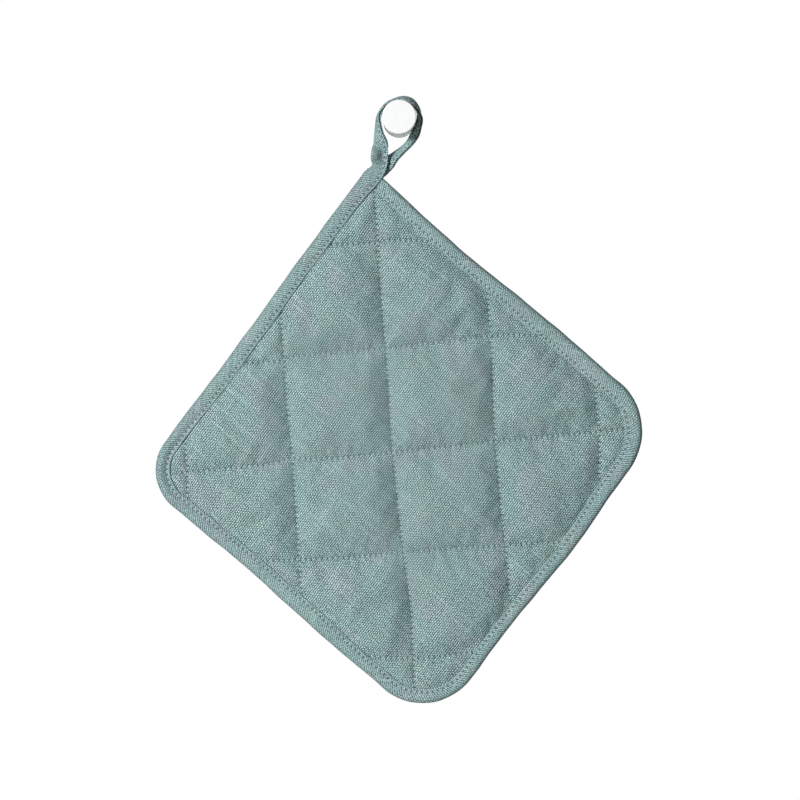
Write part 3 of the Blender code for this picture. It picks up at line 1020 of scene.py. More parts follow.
@dataclass
class FoldedTape:
    """One strip of bias-cut linen: it binds the edge, laps its own start and forms the loop."""

    quilt: Quilt
    stations: tuple[Station, ...] = (
        Station(-11.1, -25.0, -7.0, 90.0, 8.8, 3.0),
        Station(-11.4, -21.8, -7.8, 97.0, 10.0),
        Station(-11.2, -18.6, -8.7, 98.0, 9.9),
        Station(-10.9, -15.2, -9.4, 82.0, 9.2),
        Station(-11.4, -8.5, -9.6, 34.0),
        Station(-11.7, -2.8, -9.9, 15.0),
        Station(-11.3, 2.8, -10.3, 3.0),
        Station(-7.3, 8.3, -10.8, 7.0),
        Station(-2.6, 10.65, -11.1, 12.0),
        Station(2.3, 11.55, -11.2, 19.0),
        Station(6.65, 10.2, -11.1, 20.0),
        Station(10.4, 5.7, -10.8, 9.0),
        Station(11.6, 0.4, -10.3, -13.0),
        Station(10.6, -4.1, -9.9, -20.0, 8.4),
        Station(8.85, -8.25, -9.2, -29.0),
        Station(5.8, -13.0, -7.3, -24.0),
        Station(1.1, -17.3, -5.6, -26.0),
        Station(-3.4, -21.0, -4.6, -40.0),
        Station(-7.5, -24.7, -3.1, -70.0),
        Station(-11.6, -28.2, -1.65, -88.0),
        Station(-15.2, -30.2, -1.55, -90.0, 8.6),
        Station(-18.3, -30.9, -1.55, -90.0, 8.4),
    )
    # Half the tape's thickness round the pad, half the slot inside it, and the same two sizes
    # where it is folded flat, in the loop and at its pressed end.
    half: float = 2.75
    slot: float = 1.8
    fold_share: float = 1.05
    flat_half: float = 1.35
    flat_slot: float = 0.33
    pressed_half: float = 0.85
    # Its start is pressed thin under the lap.
    start_run: float = 2.5
    start_half: float = 1.6
    start_slot: float = 0.8
    lap: tuple[float, float] = (11.5, 24.0)
    # The line of stitches, and how the cloth sinks and puckers there.
    seam_in: float = 1.9
    groove: float = 0.15
    groove_reach: float = 0.5
    pucker: float = 0.06
    pucker_reach: float = 1.1
    # Where the stitches pull deepest, how far the cloth slopes down to them and up to the edge.
    slope_down: float = 4.0
    slope_up: float = 0.9
    # Painted shade over the outer fold: how dark the cloth is painted there, and how far it reaches.
    painted_fold_shade: float = 0.24
    fold_shade_reach: float = 2.0
    # How far the outer fold strays from an even line, and the cloth from an even face.
    # Both come and go over the given lengths, and the fold runs even at first and at last.
    stray: float = 0.22
    stray_length: float = 47.0
    even_ends: tuple[float, float] = (20.0, 30.0)
    ripple: float = 0.10
    ripple_length: float = 7.3
    ripple_groups: float = 61.0
    fullness: float = 0.05
    # The cloth's thickness in the fold and at the sewn edge, how far from that edge its round
    # starts, and how far it draws back between the stitches.
    fold_ply: float = 1.25
    lip: float = 0.55
    hem_round: float = 0.42
    scallop: float = 0.07
    # The last rows of the binding before the top corner, where it lets go and becomes the loop.
    join: tuple[float, ...] = (9.5, 6.5, 3.7)
    # A crease across the front strand, one beside it, and the bulge between them and the edge.
    dents: tuple[Dent, ...] = (
        Dent((-13.4, -14.4), (-9.2, -17.4), 1.9, 2.6),
        Dent((-9.4, -20.0), (-8.8, -25.0), 1.5, 0.8),
        Dent((-15.6, -19.8), (-14.2, -20.4), 2.9, -1.7),
    )
    steps_to_a_stitch: int = 3
    steps_to_a_station: int = 12
    name: str = "linen_edge_tape"
    cut_width: float = 27.0
    rows: Array = field(init=False)
    run: Array = field(init=False)

    def __post_init__(self) -> None:
        """Works out the fold line, the direction, the width and the thickness all along."""
        dense = np.vstack([self.binding_rows(), self.loop_rows()])
        run = run_along(self.seam_points(dense))
        self.run = np.arange(0.0, run[-1], self.quilt.stitch / self.steps_to_a_stitch)
        self.rows = np.stack([np.interp(self.run, run, column) for column in dense.T], axis=1)

    def seam_points(self, rows: Array) -> Array:
        """The line of stitches in the tape's middle surface.

        Args:
            rows: Fold point, direction across, width, slot and half thickness.

        Returns:
            Points in millimetres.
        """
        return rows[:, :3] + rows[:, 3:6] * (rows[:, 6:7] - self.seam_in)

    def bound(self, run: Array) -> Array:
        """The tape's rows where it binds the pad.

        Args:
            run: Distances along the edge.

        Returns:
            Rows of fold point, direction across, width, slot and half thickness.
        """
        square = self.quilt.square
        edge, inward, width = square.edge.at(run), square.inward(run), square.width(run)
        inner = edge + inward * width[:, None]
        outer_y, inner_y = self.quilt.middle(edge), self.quilt.middle(inner)
        lapped = smooth((run - self.lap[0]) / (self.lap[1] - self.lap[0]))
        slot = self.start_slot + (self.slot - self.start_slot) * lapped
        half = self.start_half + (self.half - self.start_half) * lapped
        even, fade = self.even_ends
        settled = smooth((run - even) / fade) * smooth((square.length - even - run) / fade)
        edge = edge - inward * (self.stray * wander(run, self.stray_length) * settled)[:, None]
        fold = np.stack([edge[:, 0], outer_y, edge[:, 1]], axis=1)
        across = np.stack([inward[:, 0], (inner_y - outer_y) / width, inward[:, 1]], axis=1)
        return np.hstack([fold, across, width[:, None], slot[:, None], half[:, None]])

    def binding_rows(self) -> Array:
        """The dense rows from the tape's start, round the pad and back to the top corner."""
        return self.bound(np.arange(self.start_run, self.quilt.square.length - self.join[0] - 0.2, 0.5))

    def loop_rows(self) -> Array:
        """The dense rows from the top corner over the knob to the end behind the corner."""
        length = self.quilt.square.length
        last = self.bound(length - np.array(self.join))
        middles = np.array([[s.x, s.y, s.z] for s in self.stations])
        ahead = np.gradient(middles, axis=0)
        rows = []
        for i, (station, way) in enumerate(zip(self.stations, ahead)):
            slant = math.atan2(way[2], way[0]) - math.pi / 2 - math.radians(station.slant)
            aside = np.array([math.cos(slant), 0.0, math.sin(slant)])
            turn = math.radians(station.turn)
            across = math.cos(turn) * np.array([0.0, -1.0, 0.0]) + math.sin(turn) * aside
            across /= np.linalg.norm(across)
            fold = middles[i] - across * station.width / 2
            half = self.pressed_half if i >= len(self.stations) - 2 else self.flat_half
            rows.append([*fold, *across, station.width, self.flat_slot, half])
        rows = through(np.vstack([last, rows]), self.steps_to_a_station)
        rows[:, 7] = np.clip(rows[:, 7], self.flat_slot, self.slot)
        rows[:, 8] = np.clip(rows[:, 8], self.pressed_half, self.half)
        rows[:, 3:6] /= np.linalg.norm(rows[:, 3:6], axis=1)[:, None]
        return rows

    def outer_height(self, depth: Array, face: Face) -> Array:
        """How far the tape's outer face stands off its middle surface.

        Args:
            depth: For each section, distances from the fold to its points.
            face: The side of the tape.

        Returns:
            The heights, in the same layout.
        """
        width, slot, half = (self.rows[:, k : k + 1] for k in (6, 7, 8))
        run = self.run[:, None]
        fold = self.fold_share * half
        seam = width - self.seam_in
        round_part = np.sqrt(np.clip(1.0 - (1.0 - np.minimum(depth / fold, 1.0)) ** 2, 0.0, 1.0))
        height = half * round_part
        swell = np.clip((depth - fold) / np.maximum(seam - fold, 0.1), 0.0, 1.0)
        loose = smooth((half - self.flat_half) / (self.half - self.flat_half))
        height += (self.fullness + self.fullness * loose) * np.sin(math.pi * swell)
        start = 0.0 if face is Face.FRONT else 2.0
        groups = 0.6 + 0.4 * wander(run, self.ripple_groups, start + 1.0)
        uneven = wander(run + 0.9 * depth, self.ripple_length, start) * groups
        belly = np.sin(math.pi * np.clip(depth / seam, 0.0, 1.0))
        height += self.ripple * (0.3 + 0.7 * loose) * uneven * belly
        height -= (half - slot - self.lip) * smooth((depth - fold) / (width - fold))
        past = depth - seam
        sunk = smooth(past / self.slope_down + 1.0) - smooth(past / self.slope_up)
        height -= self.tight() * sunk
        height -= (0.5 + 0.5 * loose) * self.groove * bell(depth - seam, self.groove_reach)
        phase = 2.0 * math.pi * run / self.quilt.stitch
        height -= self.pucker * np.cos(phase) * np.exp(-np.abs(depth - seam) / self.pucker_reach)
        return height

    def normals(self) -> Array:
        """The unit directions that the front face of the tape looks in, one for each row."""
        normal = np.cross(self.rows[:, 3:6], np.gradient(self.seam_points(self.rows), axis=0))
        return normal / np.linalg.norm(normal, axis=1)[:, None]

    def tight(self) -> Array:
        """How much deeper than elsewhere the stitches sink, as a column."""
        return self.quilt.tightness(self.seam_points(self.rows)[:, ::2])[:, None]

    def build(self) -> bpy.types.Object:
        """The finished tape as one closed surface.

        Returns:
            The piece, with a UV map in metres and a mark of painted shade, over the outer fold and round
            the needle holes, for its material.
        """
        rows = self.rows
        width, slot, half = rows[:, 6:7], rows[:, 7:8], rows[:, 8:9]
        fold, seam = self.fold_share * half, width - self.seam_in
        ply = np.minimum(half - slot, self.fold_ply)
        quarter = np.linspace(0.0, math.pi / 2, 7)[None]
        belly = np.linspace(0.0, 1.0, 7)[None, 1:-1]
        groove = np.array([[-0.95, -0.5, 0.0, 0.5, 0.95]])
        depth = np.hstack(
            [
                fold * (1.0 - np.cos(quarter)),
                fold + (seam - 1.3 - fold) * belly,
                seam + groove,
                width - self.hem_round,
            ]
        )
        scallop = self.scallop * np.cos(2.0 * math.pi * self.run / self.quilt.stitch)[:, None]
        sides = {}
        for face in Face:
            top = self.outer_height(depth, face)
            edge_top = top[:, -1:]
            low = slot + 0.12 * (edge_top - slot)
            outer = (depth, top)
            turned = (
                np.hstack([width - 0.1 + scallop, width + scallop, width - 0.1 + scallop]),
                np.hstack([edge_top - 0.12, (edge_top + low) / 2, low]),
            )
            inner_depth = np.hstack([width - 0.5, seam, 0.5 * (seam + fold), ply + 0.8, ply + 0.15, ply])
            inner_share = np.array([[1.0, 1.0, 1.0, 1.0, 0.62, 0.0]])
            inner_top = slot * inner_share
            inner_top[:, 1:2] = np.maximum(slot - self.tight(), 0.3)
            inner = (inner_depth, inner_top)
            sides[face] = [np.hstack(pair) for pair in zip(outer, turned, inner)]
        front, back = sides[Face.FRONT], sides[Face.BACK]
        around = np.hstack([front[0], back[0][:, ::-1][:, 1:-1]])
        off = np.hstack([front[1], -back[1][:, ::-1][:, 1:-1]])
        stitched = quarter.size + belly.size + groove.size // 2
        return self.sweep(around, off, hole_at=(stitched, around.shape[1] - stitched))

    def sweep(self, around: Array, off: Array, hole_at: tuple[int, int]) -> bpy.types.Object:
        """Carries the section along the tape.

        Args:
            around: For each section, how far its points are from the fold.
            off: How far they stand off the middle surface, positive on the outer face.
            hole_at: The points of the section that lie in the stitch line, front and back.

        Returns:
            The piece.
        """
        rows, count = self.rows, around.shape[1]
        normal = self.normals()
        points = rows[:, None, :3] + rows[:, None, 3:6] * around[..., None]
        points += normal[:, None] * off[..., None]
        points -= normal[:, None] * self.dented(points)[..., None]
        faces = []
        for i in range(len(rows) - 1):
            a, b = i * count, (i + 1) * count
            faces.extend([a + k, a + (k + 1) % count, b + (k + 1) % count, b + k] for k in range(count))
        faces.append(list(range(count)))
        faces.append([(len(rows) - 1) * count + k for k in range(count)])
        piece = new_piece(self.name, points.reshape(-1, 3), faces)
        self.add_uv(piece, around, off)
        # Painted shade: the tape is painted darker over its outer fold, more where it is loose, and darkest
        # at the needle holes of its stitch line.
        loose = smooth((rows[:, 8:9] - self.flat_half) / (self.half - self.flat_half))
        holes = self.painted_fold_shade * bell(around, self.fold_shade_reach) * (0.4 + 0.6 * loose)
        for aside, share in ((-1, 0.45), (0, 1.0), (1, 0.45)):
            holes[:: self.steps_to_a_stitch, np.array(hole_at) + aside] = share
        mark_points(piece, "painted_shade", holes.ravel())
        return piece

    def dented(self, points: Array) -> Array:
        """How far the front strand of the loop is pressed in at each point.

        Args:
            points: Points of the tape.

        Returns:
            The depths.
        """
        flat = points[..., ::2].reshape(-1, 2)
        depth = np.zeros(len(flat))
        for dent in self.dents:
            far = np.abs(Line(np.array([dent.start, dent.end])).near(flat)[0])
            depth += dent.depth * bell(far, dent.reach)
        return depth.reshape(points.shape[:-1])

    def add_uv(self, piece: bpy.types.Object, around: Array, off: Array) -> None:
        """Lays the flat cloth on the tape: along it, and out from the fold to both edges.

        Args:
            piece: The tape.
            around: The sections' distances from the fold.
            off: Their heights.
        """
        step = np.hypot(np.diff(around, axis=1), np.diff(off, axis=1))
        out = np.hstack([np.zeros((len(around), 1)), np.cumsum(step, axis=1)])
        total = out[:, -1:] + np.hypot(around[:, :1] - around[:, -1:], off[:, :1] - off[:, -1:])
        out = np.where(out < total / 2, out, out - total)
        uv = np.stack([np.broadcast_to(self.run[:, None], out.shape), out], axis=2).reshape(-1, 2) * MM
        layer = piece.data.uv_layers.new(name="cloth")
        corners = np.zeros(len(piece.data.loops), np.int32)
        piece.data.loops.foreach_get("vertex_index", corners)
        layer.data.foreach_set("uv", uv[corners].astype(np.float32).ravel())

    def stitch_line(self, face: Face) -> tuple[Array, Array]:
        """Where the needle went through the tape.

        Args:
            face: The side of the tape.

        Returns:
            The points in the groove and the outward directions there.
        """
        seam = self.rows[:, 6:7] - self.seam_in
        height = self.outer_height(seam, face)
        normal = self.normals()
        side = -face.value
        points = self.seam_points(self.rows) + normal * height * side
        points -= normal * self.dented(points)[:, None]
        take = slice(None, None, self.steps_to_a_stitch)
        return points[take], normal[take] * side


# ---------------------------------------------------------------------------------------------
# The sewing


@dataclass
class Sewing:
    """Lockstitches of linen-coloured thread, each a short arched length between two holes."""

    # The thread, how far a stitch arches up and its ends sink in, and its distance from the hole.
    radius: float = 0.24
    arch: float = 0.14
    sink: float = 0.34
    sides: int = 6
    gap: float = 0.42
    # How much wider than high a stitch is, and how far it lies askew.
    widening: float = 1.1
    sway: float = 0.06
    # Along the stitch: the share of its length, and of its height and its thickness there.
    course: tuple[tuple[float, float, float], ...] = (
        (0.04, -0.3, 0.70),
        (0.16, 0.35, 0.92),
        (0.34, 0.85, 1.0),
        (0.50, 1.0, 1.04),
        (0.66, 0.85, 1.0),
        (0.84, 0.35, 0.92),
        (0.96, -0.3, 0.70),
    )

    def build(self, name: str, runs: Sequence[tuple[Array, Array]]) -> bpy.types.Object:
        """All the stitches of some seams as one piece.

        Args:
            name: The piece's name.
            runs: For each seam its needle holes and the outward directions there.

        Returns:
            The piece.
        """
        starts = np.vstack([holes[:-1] for holes, _ in runs])
        ends = np.vstack([holes[1:] for holes, _ in runs])
        normals = np.vstack([(out[:-1] + out[1:]) / 2 for _, out in runs])
        normals /= np.linalg.norm(normals, axis=1)[:, None]
        way = ends - starts
        long = np.linalg.norm(way, axis=1)[:, None]
        across = np.cross(way, normals)
        across /= np.linalg.norm(across, axis=1)[:, None]
        count = len(starts)
        sway = self.sway * wander(np.arange(count, dtype=float), 5.3)[:, None]
        angles = 2.0 * math.pi * np.arange(self.sides) / self.sides
        rings = []
        for share, rise, size in self.course:
            level = self.arch * rise if rise > 0 else self.sink * rise
            reach = self.gap + (1.0 - 2.0 * self.gap / long) * share * long
            middle = starts + way / long * reach + normals * level + across * sway * (2 * share - 1)
            for angle in angles:
                aside = self.radius * size * self.widening * math.cos(angle)
                up = self.radius * size * math.sin(angle)
                rings.append(middle + across * aside + normals * up)
        first = starts + way / long * self.gap - normals * self.sink
        last = ends - way / long * self.gap - normals * self.sink
        points = np.stack([*rings, first, last], axis=1)
        return new_piece(name, points.reshape(-1, 3), self.all_faces(count, points.shape[1]))

    def all_faces(self, count: int, size: int) -> list[list[int]]:
        """The faces of every stitch.

        Args:
            count: How many stitches there are.
            size: How many points each has.

        Returns:
            The faces.
        """
        one = []
        rings = len(self.course)
        for i in range(rings - 1):
            for k in range(self.sides):
                n = (k + 1) % self.sides
                a, b = i * self.sides, (i + 1) * self.sides
                one.append([a + k, a + n, b + n, b + k])
        top = (rings - 1) * self.sides
        one += [[(k + 1) % self.sides, k, size - 2] for k in range(self.sides)]
        one += [[top + k, top + (k + 1) % self.sides, size - 1] for k in range(self.sides)]
        return [[size * i + k for k in face] for i in range(count) for face in one]

    def quilting(self, quilt: Quilt) -> list[tuple[Array, Array]]:
        """The needle holes of all the quilting seams, on both faces of the pad.

        Args:
            quilt: The seams.

        Returns:
            For each seam and face, the holes and the outward directions.
        """
        runs = []
        for line in quilt.seams:
            flat = line.at(quilt.needle(line))
            flat = flat[quilt.inside(flat) > -0.6]
            middle, half = quilt.middle(flat), quilt.half(flat)
            depth = quilt.relief(flat)[0]
            for face in Face:
                y = middle + face.value * (half - depth)
                holes = np.stack([flat[:, 0], y, flat[:, 1]], axis=1)
                out = np.tile([0.0, face.value, 0.0], (len(holes), 1))
                runs.append((holes, out))
        return runs


# ---------------------------------------------------------------------------------------------
# The knob


@dataclass
class WallKnob:
    """A plain round knob turned in one piece, with a slightly wider head."""

    neck_radius: float = 9.1
    head_radius: float = 9.6
    length: float = 26.0
    head_length: float = 4.0
    flare: float = 0.5
    edge: float = 0.7
    segments: int = 96
    name: str = "turned_wall_knob"

    def build(self) -> bpy.types.Object:
        """Turns the knob: a neck, a flare out to the head, the head and its rounded rim.

        Returns:
            The piece.
        """
        neck = self.length - self.head_length - self.flare
        bpy.ops.object.select_all(action="DESELECT")
        bpy.ops.mesh.primitive_cylinder_add(
            vertices=self.segments,
            radius=self.neck_radius * MM,
            depth=neck * MM,
            location=(0.0, -neck / 2 * MM, 0.0),
            rotation=(math.pi / 2, 0.0, 0.0),
        )
        knob = bpy.context.object
        knob.name = knob.data.name = self.name
        bpy.ops.object.transform_apply(location=True, rotation=True, scale=True)
        grow = self.head_radius / self.neck_radius
        bpy.ops.object.mode_set(mode="EDIT")
        self.pick_front(knob)
        self.push(self.flare, grow)
        self.push(self.head_length, 1.0)
        bpy.ops.mesh.inset(thickness=1.6 * self.edge * MM, depth=0.0)
        bpy.ops.mesh.inset(thickness=0.55 * self.head_radius * MM, depth=0.0)
        bpy.ops.object.mode_set(mode="OBJECT")
        rim = knob.modifiers.new("rounded rim", "BEVEL")
        rim.width = self.edge * MM
        rim.segments = 5
        rim.limit_method = "ANGLE"
        rim.angle_limit = math.radians(50.0)
        bpy.ops.object.modifier_apply(modifier=rim.name)
        bpy.ops.object.shade_smooth_by_angle(angle=math.radians(35.0))
        return knob

    @staticmethod
    def pick_front(knob: bpy.types.Object) -> None:
        """Selects only the cap that faces the room.

        Args:
            knob: The knob, in edit mode.
        """
        bpy.ops.mesh.select_mode(type="FACE")
        bpy.ops.mesh.select_all(action="DESELECT")
        work = bmesh.from_edit_mesh(knob.data)
        for face in work.faces:
            face.select_set(face.normal.y < -0.9)
        bmesh.update_edit_mesh(knob.data)

    @staticmethod
    def push(by: float, grow: float) -> None:
        """Extrudes the selected cap towards the room.

        Args:
            by: How far, in millimetres.
            grow: What its radius is multiplied by.
        """
        bpy.ops.mesh.extrude_region_move(TRANSFORM_OT_translate={"value": (0.0, -by * MM, 0.0)})
        bpy.ops.transform.resize(value=(grow, 1.0, grow), center_override=(0.0, 0.0, 0.0))


# ---------------------------------------------------------------------------------------------
# Finishes


def linear(code: str) -> tuple[float, float, float, float]:
    """An sRGB hex colour as the linear one that Blender takes.

    Args:
        code: Such as "89A0A1".

    Returns:
        Red, green, blue and 1.
    """
    parts = [int(code[k : k + 2], 16) / 255 for k in (0, 2, 4)]
    bright = [c / 12.92 if c <= 0.04045 else ((c + 0.055) / 1.055) ** 2.4 for c in parts]
    return (*bright, 1.0)


def add_node(
    tree: bpy.types.NodeTree,
    kind: str,
    settings: dict[Any, Any] | None = None,
    links: dict[Any, Any] | None = None,
) -> bpy.types.Node:
    """Adds a node.

    Args:
        tree: The material's node tree.
        kind: The node's type without "ShaderNode".
        settings: Its properties by name, and the values of its inputs by name or number.
        links: The sockets that feed its inputs, by the input's name or number.

    Returns:
        The node.
    """
    node = tree.nodes.new(f"ShaderNode{kind}")
    for name, value in (settings or {}).items():
        if isinstance(name, str) and hasattr(node, name):
            setattr(node, name, value)
        else:
            node.inputs[name].default_value = value
    for name, socket in (links or {}).items():
        tree.links.new(socket, node.inputs[name])
    return node


def new_material(name: str) -> tuple[bpy.types.Material, bpy.types.NodeTree, bpy.types.Node]:
    """A material with only a Principled shader.

    Args:
        name: The material's name.

    Returns:
        The material, its node tree and the shader.
    """
    material = bpy.data.materials.new(name)
    material.use_nodes = True
    tree = material.node_tree
    return material, tree, tree.nodes["Principled BSDF"]


class Lay(Enum):
    """Where a cloth's pattern comes from: its place on the pad, or the tape's own flat cloth."""

    PANEL = "panel"
    BIAS_TAPE = "bias tape"


@dataclass(frozen=True)
class PlainLinen:
    """Plain-woven linen, piece-dyed: matt, with uneven threads, slubs and painted shade in the gaps
    between.

    The threads along the pad's upper left side are 1.16 mm apart and the ones across them
    0.80 mm, so both show at their real size. Flax takes the dye unevenly, so each thread has its
    own tone, which drifts along it, and the cloth clouds between blue, green and a warmer grey.
    """

    name: str
    lay: Lay
    light: str = "C8E5E6"
    warm: str = "D2E3E7"
    green: str = "CCE6E1"
    # The dark colour is the painted shade in the weave's gaps and the darkest of the threads' own tones.
    dark: str = "27484A"
    # The colour of the painted shade round the needle holes and over the tape's outer fold.
    painted_shade: str = "1F3234"
    # How far apart the threads of each set are, and how the set is turned. The tape's cut turns
    # both a little further.
    long_pitch: float = 1.157
    cross_pitch: float = 0.798
    long_turn: float = -37.2
    cross_turn: float = 50.4
    tape_turn: float = 8.0
    # How much the ribs of both thread sets and their crossings lift the cloth, and then how light
    # it is in the gaps and how much the lift brightens it: painted shade in the gaps and painted
    # light on the raised threads.
    long_rib: float = 0.85
    cross_rib: float = 0.13
    checker: float = 0.31
    level: float = 0.004
    weave: float = 0.74
    # How much each thread of the two sets, and the fuzz of the fibres, differ in tone. The slubs
    # are thick lengths of thread that take less dye. The relief is in millimetres.
    long_tone: float = 0.15
    cross_tone: float = 0.30
    grain: float = 0.95
    grain_scale: float = 1.4
    slub: float = 0.12
    relief: float = 0.079
    roughness: float = 0.93

    def coordinates(self, tree: bpy.types.NodeTree) -> bpy.types.NodeSocket:
        """The place on the flat cloth, in millimetres.

        Args:
            tree: The material's node tree.

        Returns:
            A vector with the two directions of the cloth in x and y.
        """
        where = add_node(tree, "TexCoord")
        if self.lay is Lay.PANEL:
            parts = add_node(tree, "SeparateXYZ", links={0: where.outputs["Object"]})
            flat = add_node(tree, "CombineXYZ", links={0: parts.outputs["X"], 1: parts.outputs["Z"]})
        else:
            flat = add_node(tree, "UVMap", {"uv_map": "cloth"})
        scaled = add_node(
            tree,
            "VectorMath",
            {"operation": "SCALE", "Scale": 1.0 / MM},
            {0: flat.outputs[0]},
        )
        return scaled.outputs[0]

    def drifted(self, tree: bpy.types.NodeTree, spot: bpy.types.NodeSocket) -> bpy.types.NodeSocket:
        """The same place with the threads' slight waver.

        Args:
            tree: The material's node tree.
            spot: The place on the cloth.

        Returns:
            The shifted place.
        """
        drift = add_node(
            tree,
            "TexNoise",
            {"noise_dimensions": "2D", "Scale": 0.035, "Detail": 4.0},
            {"Vector": spot},
        )
        centred = add_node(
            tree,
            "VectorMath",
            {"operation": "SUBTRACT", 1: (0.5, 0.5, 0.5)},
            {0: drift.outputs[1]},
        )
        return add_node(
            tree,
            "VectorMath",
            {"operation": "MULTIPLY_ADD", 1: (2.4, 2.4, 0.0)},
            {0: centred.outputs[0], 2: spot},
        ).outputs[0]

    def build(self) -> bpy.types.Material:
        """The material.

        Returns:
            The material.
        """
        material, tree, shader = new_material(self.name)

        def sums(operation: str, *inputs: Any) -> bpy.types.NodeSocket:
            """One step of arithmetic.

            Args:
                operation: The name of the step.
                inputs: Numbers or sockets.

            Returns:
                The result's socket.
            """
            values = {i: v for i, v in enumerate(inputs) if isinstance(v, float)}
            links = {i: v for i, v in enumerate(inputs) if not isinstance(v, float)}
            return add_node(tree, "Math", {"operation": operation, **values}, links).outputs[0]

        spot = self.coordinates(tree)
        shifted = self.drifted(tree, spot)
        counts = []
        for pitch, turn in ((self.long_pitch, self.long_turn), (self.cross_pitch, self.cross_turn)):
            if self.lay is Lay.BIAS_TAPE:
                turn += self.tape_turn
            angle = math.radians(turn)
            across = (math.cos(angle) / pitch, math.sin(angle) / pitch, 0.0)
            dot = add_node(tree, "VectorMath", {"operation": "DOT_PRODUCT", 1: across}, {0: shifted})
            counts.append(dot.outputs["Value"])
        sines = [sums("SINE", sums("MULTIPLY", count, math.pi)) for count in counts]
        cross = sums("MULTIPLY", *sines)
        ribs = [sums("MULTIPLY", sine, sine) for sine in sines]
        which = sums("GREATER_THAN", cross, 0.0)
        height = sums("MULTIPLY_ADD", ribs[0], self.long_rib, sums("MULTIPLY", ribs[1], self.cross_rib))
        height = sums("MULTIPLY_ADD", cross, self.checker, height)
        cells = [sums("FLOOR", count) for count in counts]
        grain = add_node(
            tree,
            "TexNoise",
            {"noise_dimensions": "2D", "Scale": self.grain_scale, "Detail": 0.0},
            {"Vector": spot},
        ).outputs[0]
        yarns = []
        for cell, other in ((cells[0], counts[1]), (cells[1], counts[0])):
            along = sums("MULTIPLY", other, 0.022)
            line = add_node(tree, "CombineXYZ", links={0: cell, 1: along})
            yarn = add_node(
                tree,
                "TexNoise",
                {"noise_dimensions": "2D", "Scale": 1.37, "Detail": 3.0, "Roughness": 0.65},
                {"Vector": line.outputs[0]},
            )
            yarns.append(yarn.outputs[0])
        on_top = add_node(tree, "Mix", {"data_type": "FLOAT"}, {0: which, 2: yarns[1], 3: yarns[0]})
        slub = add_node(
            tree,
            "MapRange",
            {"interpolation_type": "SMOOTHSTEP", "From Min": 0.60, "From Max": 0.74, "To Max": self.slub},
            {"Value": on_top.outputs[0]},
        ).outputs[0]
        # Painted shade and light: the tone follows the weave's relief, darker in the gaps and lighter on
        # the raised threads, and the threads' own tones are added to it.
        tone = sums("MULTIPLY_ADD", height, self.weave, self.level)
        for part, amount in ((yarns[0], self.long_tone), (yarns[1], self.cross_tone), (grain, self.grain)):
            tone = sums("MULTIPLY_ADD", sums("SUBTRACT", part, 0.5), amount, tone)
        lit = add_node(tree, "Math", {"operation": "ADD", "use_clamp": True}, {0: tone, 1: slub}).outputs[0]
        cloth = add_node(
            tree,
            "Mix",
            {"data_type": "RGBA", 6: linear(self.dark)},
            {0: lit, 7: self.clouded(tree, spot)},
        )
        # Painted shade: where the mark says, the cloth is painted dark round the needle holes and over the
        # tape's outer fold.
        mark = add_node(tree, "Attribute", {"attribute_name": "painted_shade"})
        painted_shade_mix = add_node(
            tree,
            "Mix",
            {"data_type": "RGBA", 7: linear(self.painted_shade)},
            {0: mark.outputs["Fac"], 6: cloth.outputs[2]},
        )
        tree.links.new(painted_shade_mix.outputs[2], shader.inputs["Base Color"])
        thick = sums("MULTIPLY_ADD", height, 0.5, slub)
        bump = add_node(tree, "Bump", {"Strength": 0.7, "Distance": self.relief * MM}, {"Height": thick})
        tree.links.new(bump.outputs[0], shader.inputs["Normal"])
        shader.inputs["Roughness"].default_value = self.roughness
        shader.inputs["Specular IOR Level"].default_value = 0.12
        return material

    def clouded(self, tree: bpy.types.NodeTree, spot: bpy.types.NodeSocket) -> bpy.types.NodeSocket:
        """The thread's colour, clouded over centimetres.

        Args:
            tree: The material's node tree.
            spot: The place on the cloth.

        Returns:
            The colour.
        """
        colour = None
        for hue, scale, low, high in ((self.warm, 0.045, 0.45, 0.70), (self.green, 0.038, 0.55, 0.75)):
            cloud = add_node(
                tree,
                "TexNoise",
                {"noise_dimensions": "2D", "Scale": scale, "Detail": 2.0, "Roughness": 0.55},
                {"Vector": spot},
            )
            share = add_node(
                tree,
                "MapRange",
                {"interpolation_type": "SMOOTHSTEP", "From Min": low, "From Max": high},
                {"Value": cloud.outputs[0]},
            )
            mix = add_node(
                tree,
                "Mix",
                {"data_type": "RGBA", 6: linear(self.light), 7: linear(hue)},
                {0: share.outputs[0]},
            )
            if colour is not None:
                tree.links.new(colour, mix.inputs[6])
            colour = mix.outputs[2]
        return colour


@dataclass(frozen=True)
class SewingThread:
    """Spun polyester sewing thread dyed to the cloth: a little smoother, with a fine twist."""

    name: str = "matching_sewing_thread"
    light: str = "BDD4D3"
    dark: str = "94B0AF"
    twist: float = 0.5

    def build(self) -> bpy.types.Material:
        """The material.

        Returns:
            The material.
        """
        material, tree, shader = new_material(self.name)
        where = add_node(tree, "TexCoord")
        ply = add_node(
            tree,
            "TexWave",
            {
                "wave_type": "BANDS",
                "bands_direction": "DIAGONAL",
                "Scale": 0.5 / (self.twist * MM),
                "Distortion": 1.5,
            },
            {"Vector": where.outputs["Object"]},
        )
        # Painted shade: the thread is painted darker in the grooves of its twist, on the same bands as its
        # bump.
        colour = add_node(
            tree,
            "Mix",
            {"data_type": "RGBA", 6: linear(self.dark), 7: linear(self.light)},
            {0: ply.outputs["Fac"]},
        )
        tree.links.new(colour.outputs[2], shader.inputs["Base Color"])
        bump = add_node(
            tree,
            "Bump",
            {"Strength": 0.5, "Distance": 0.06 * MM},
            {"Height": ply.outputs["Fac"]},
        )
        tree.links.new(bump.outputs[0], shader.inputs["Normal"])
        shader.inputs["Roughness"].default_value = 0.7
        shader.inputs["Sheen Weight"].default_value = 0.1
        return material


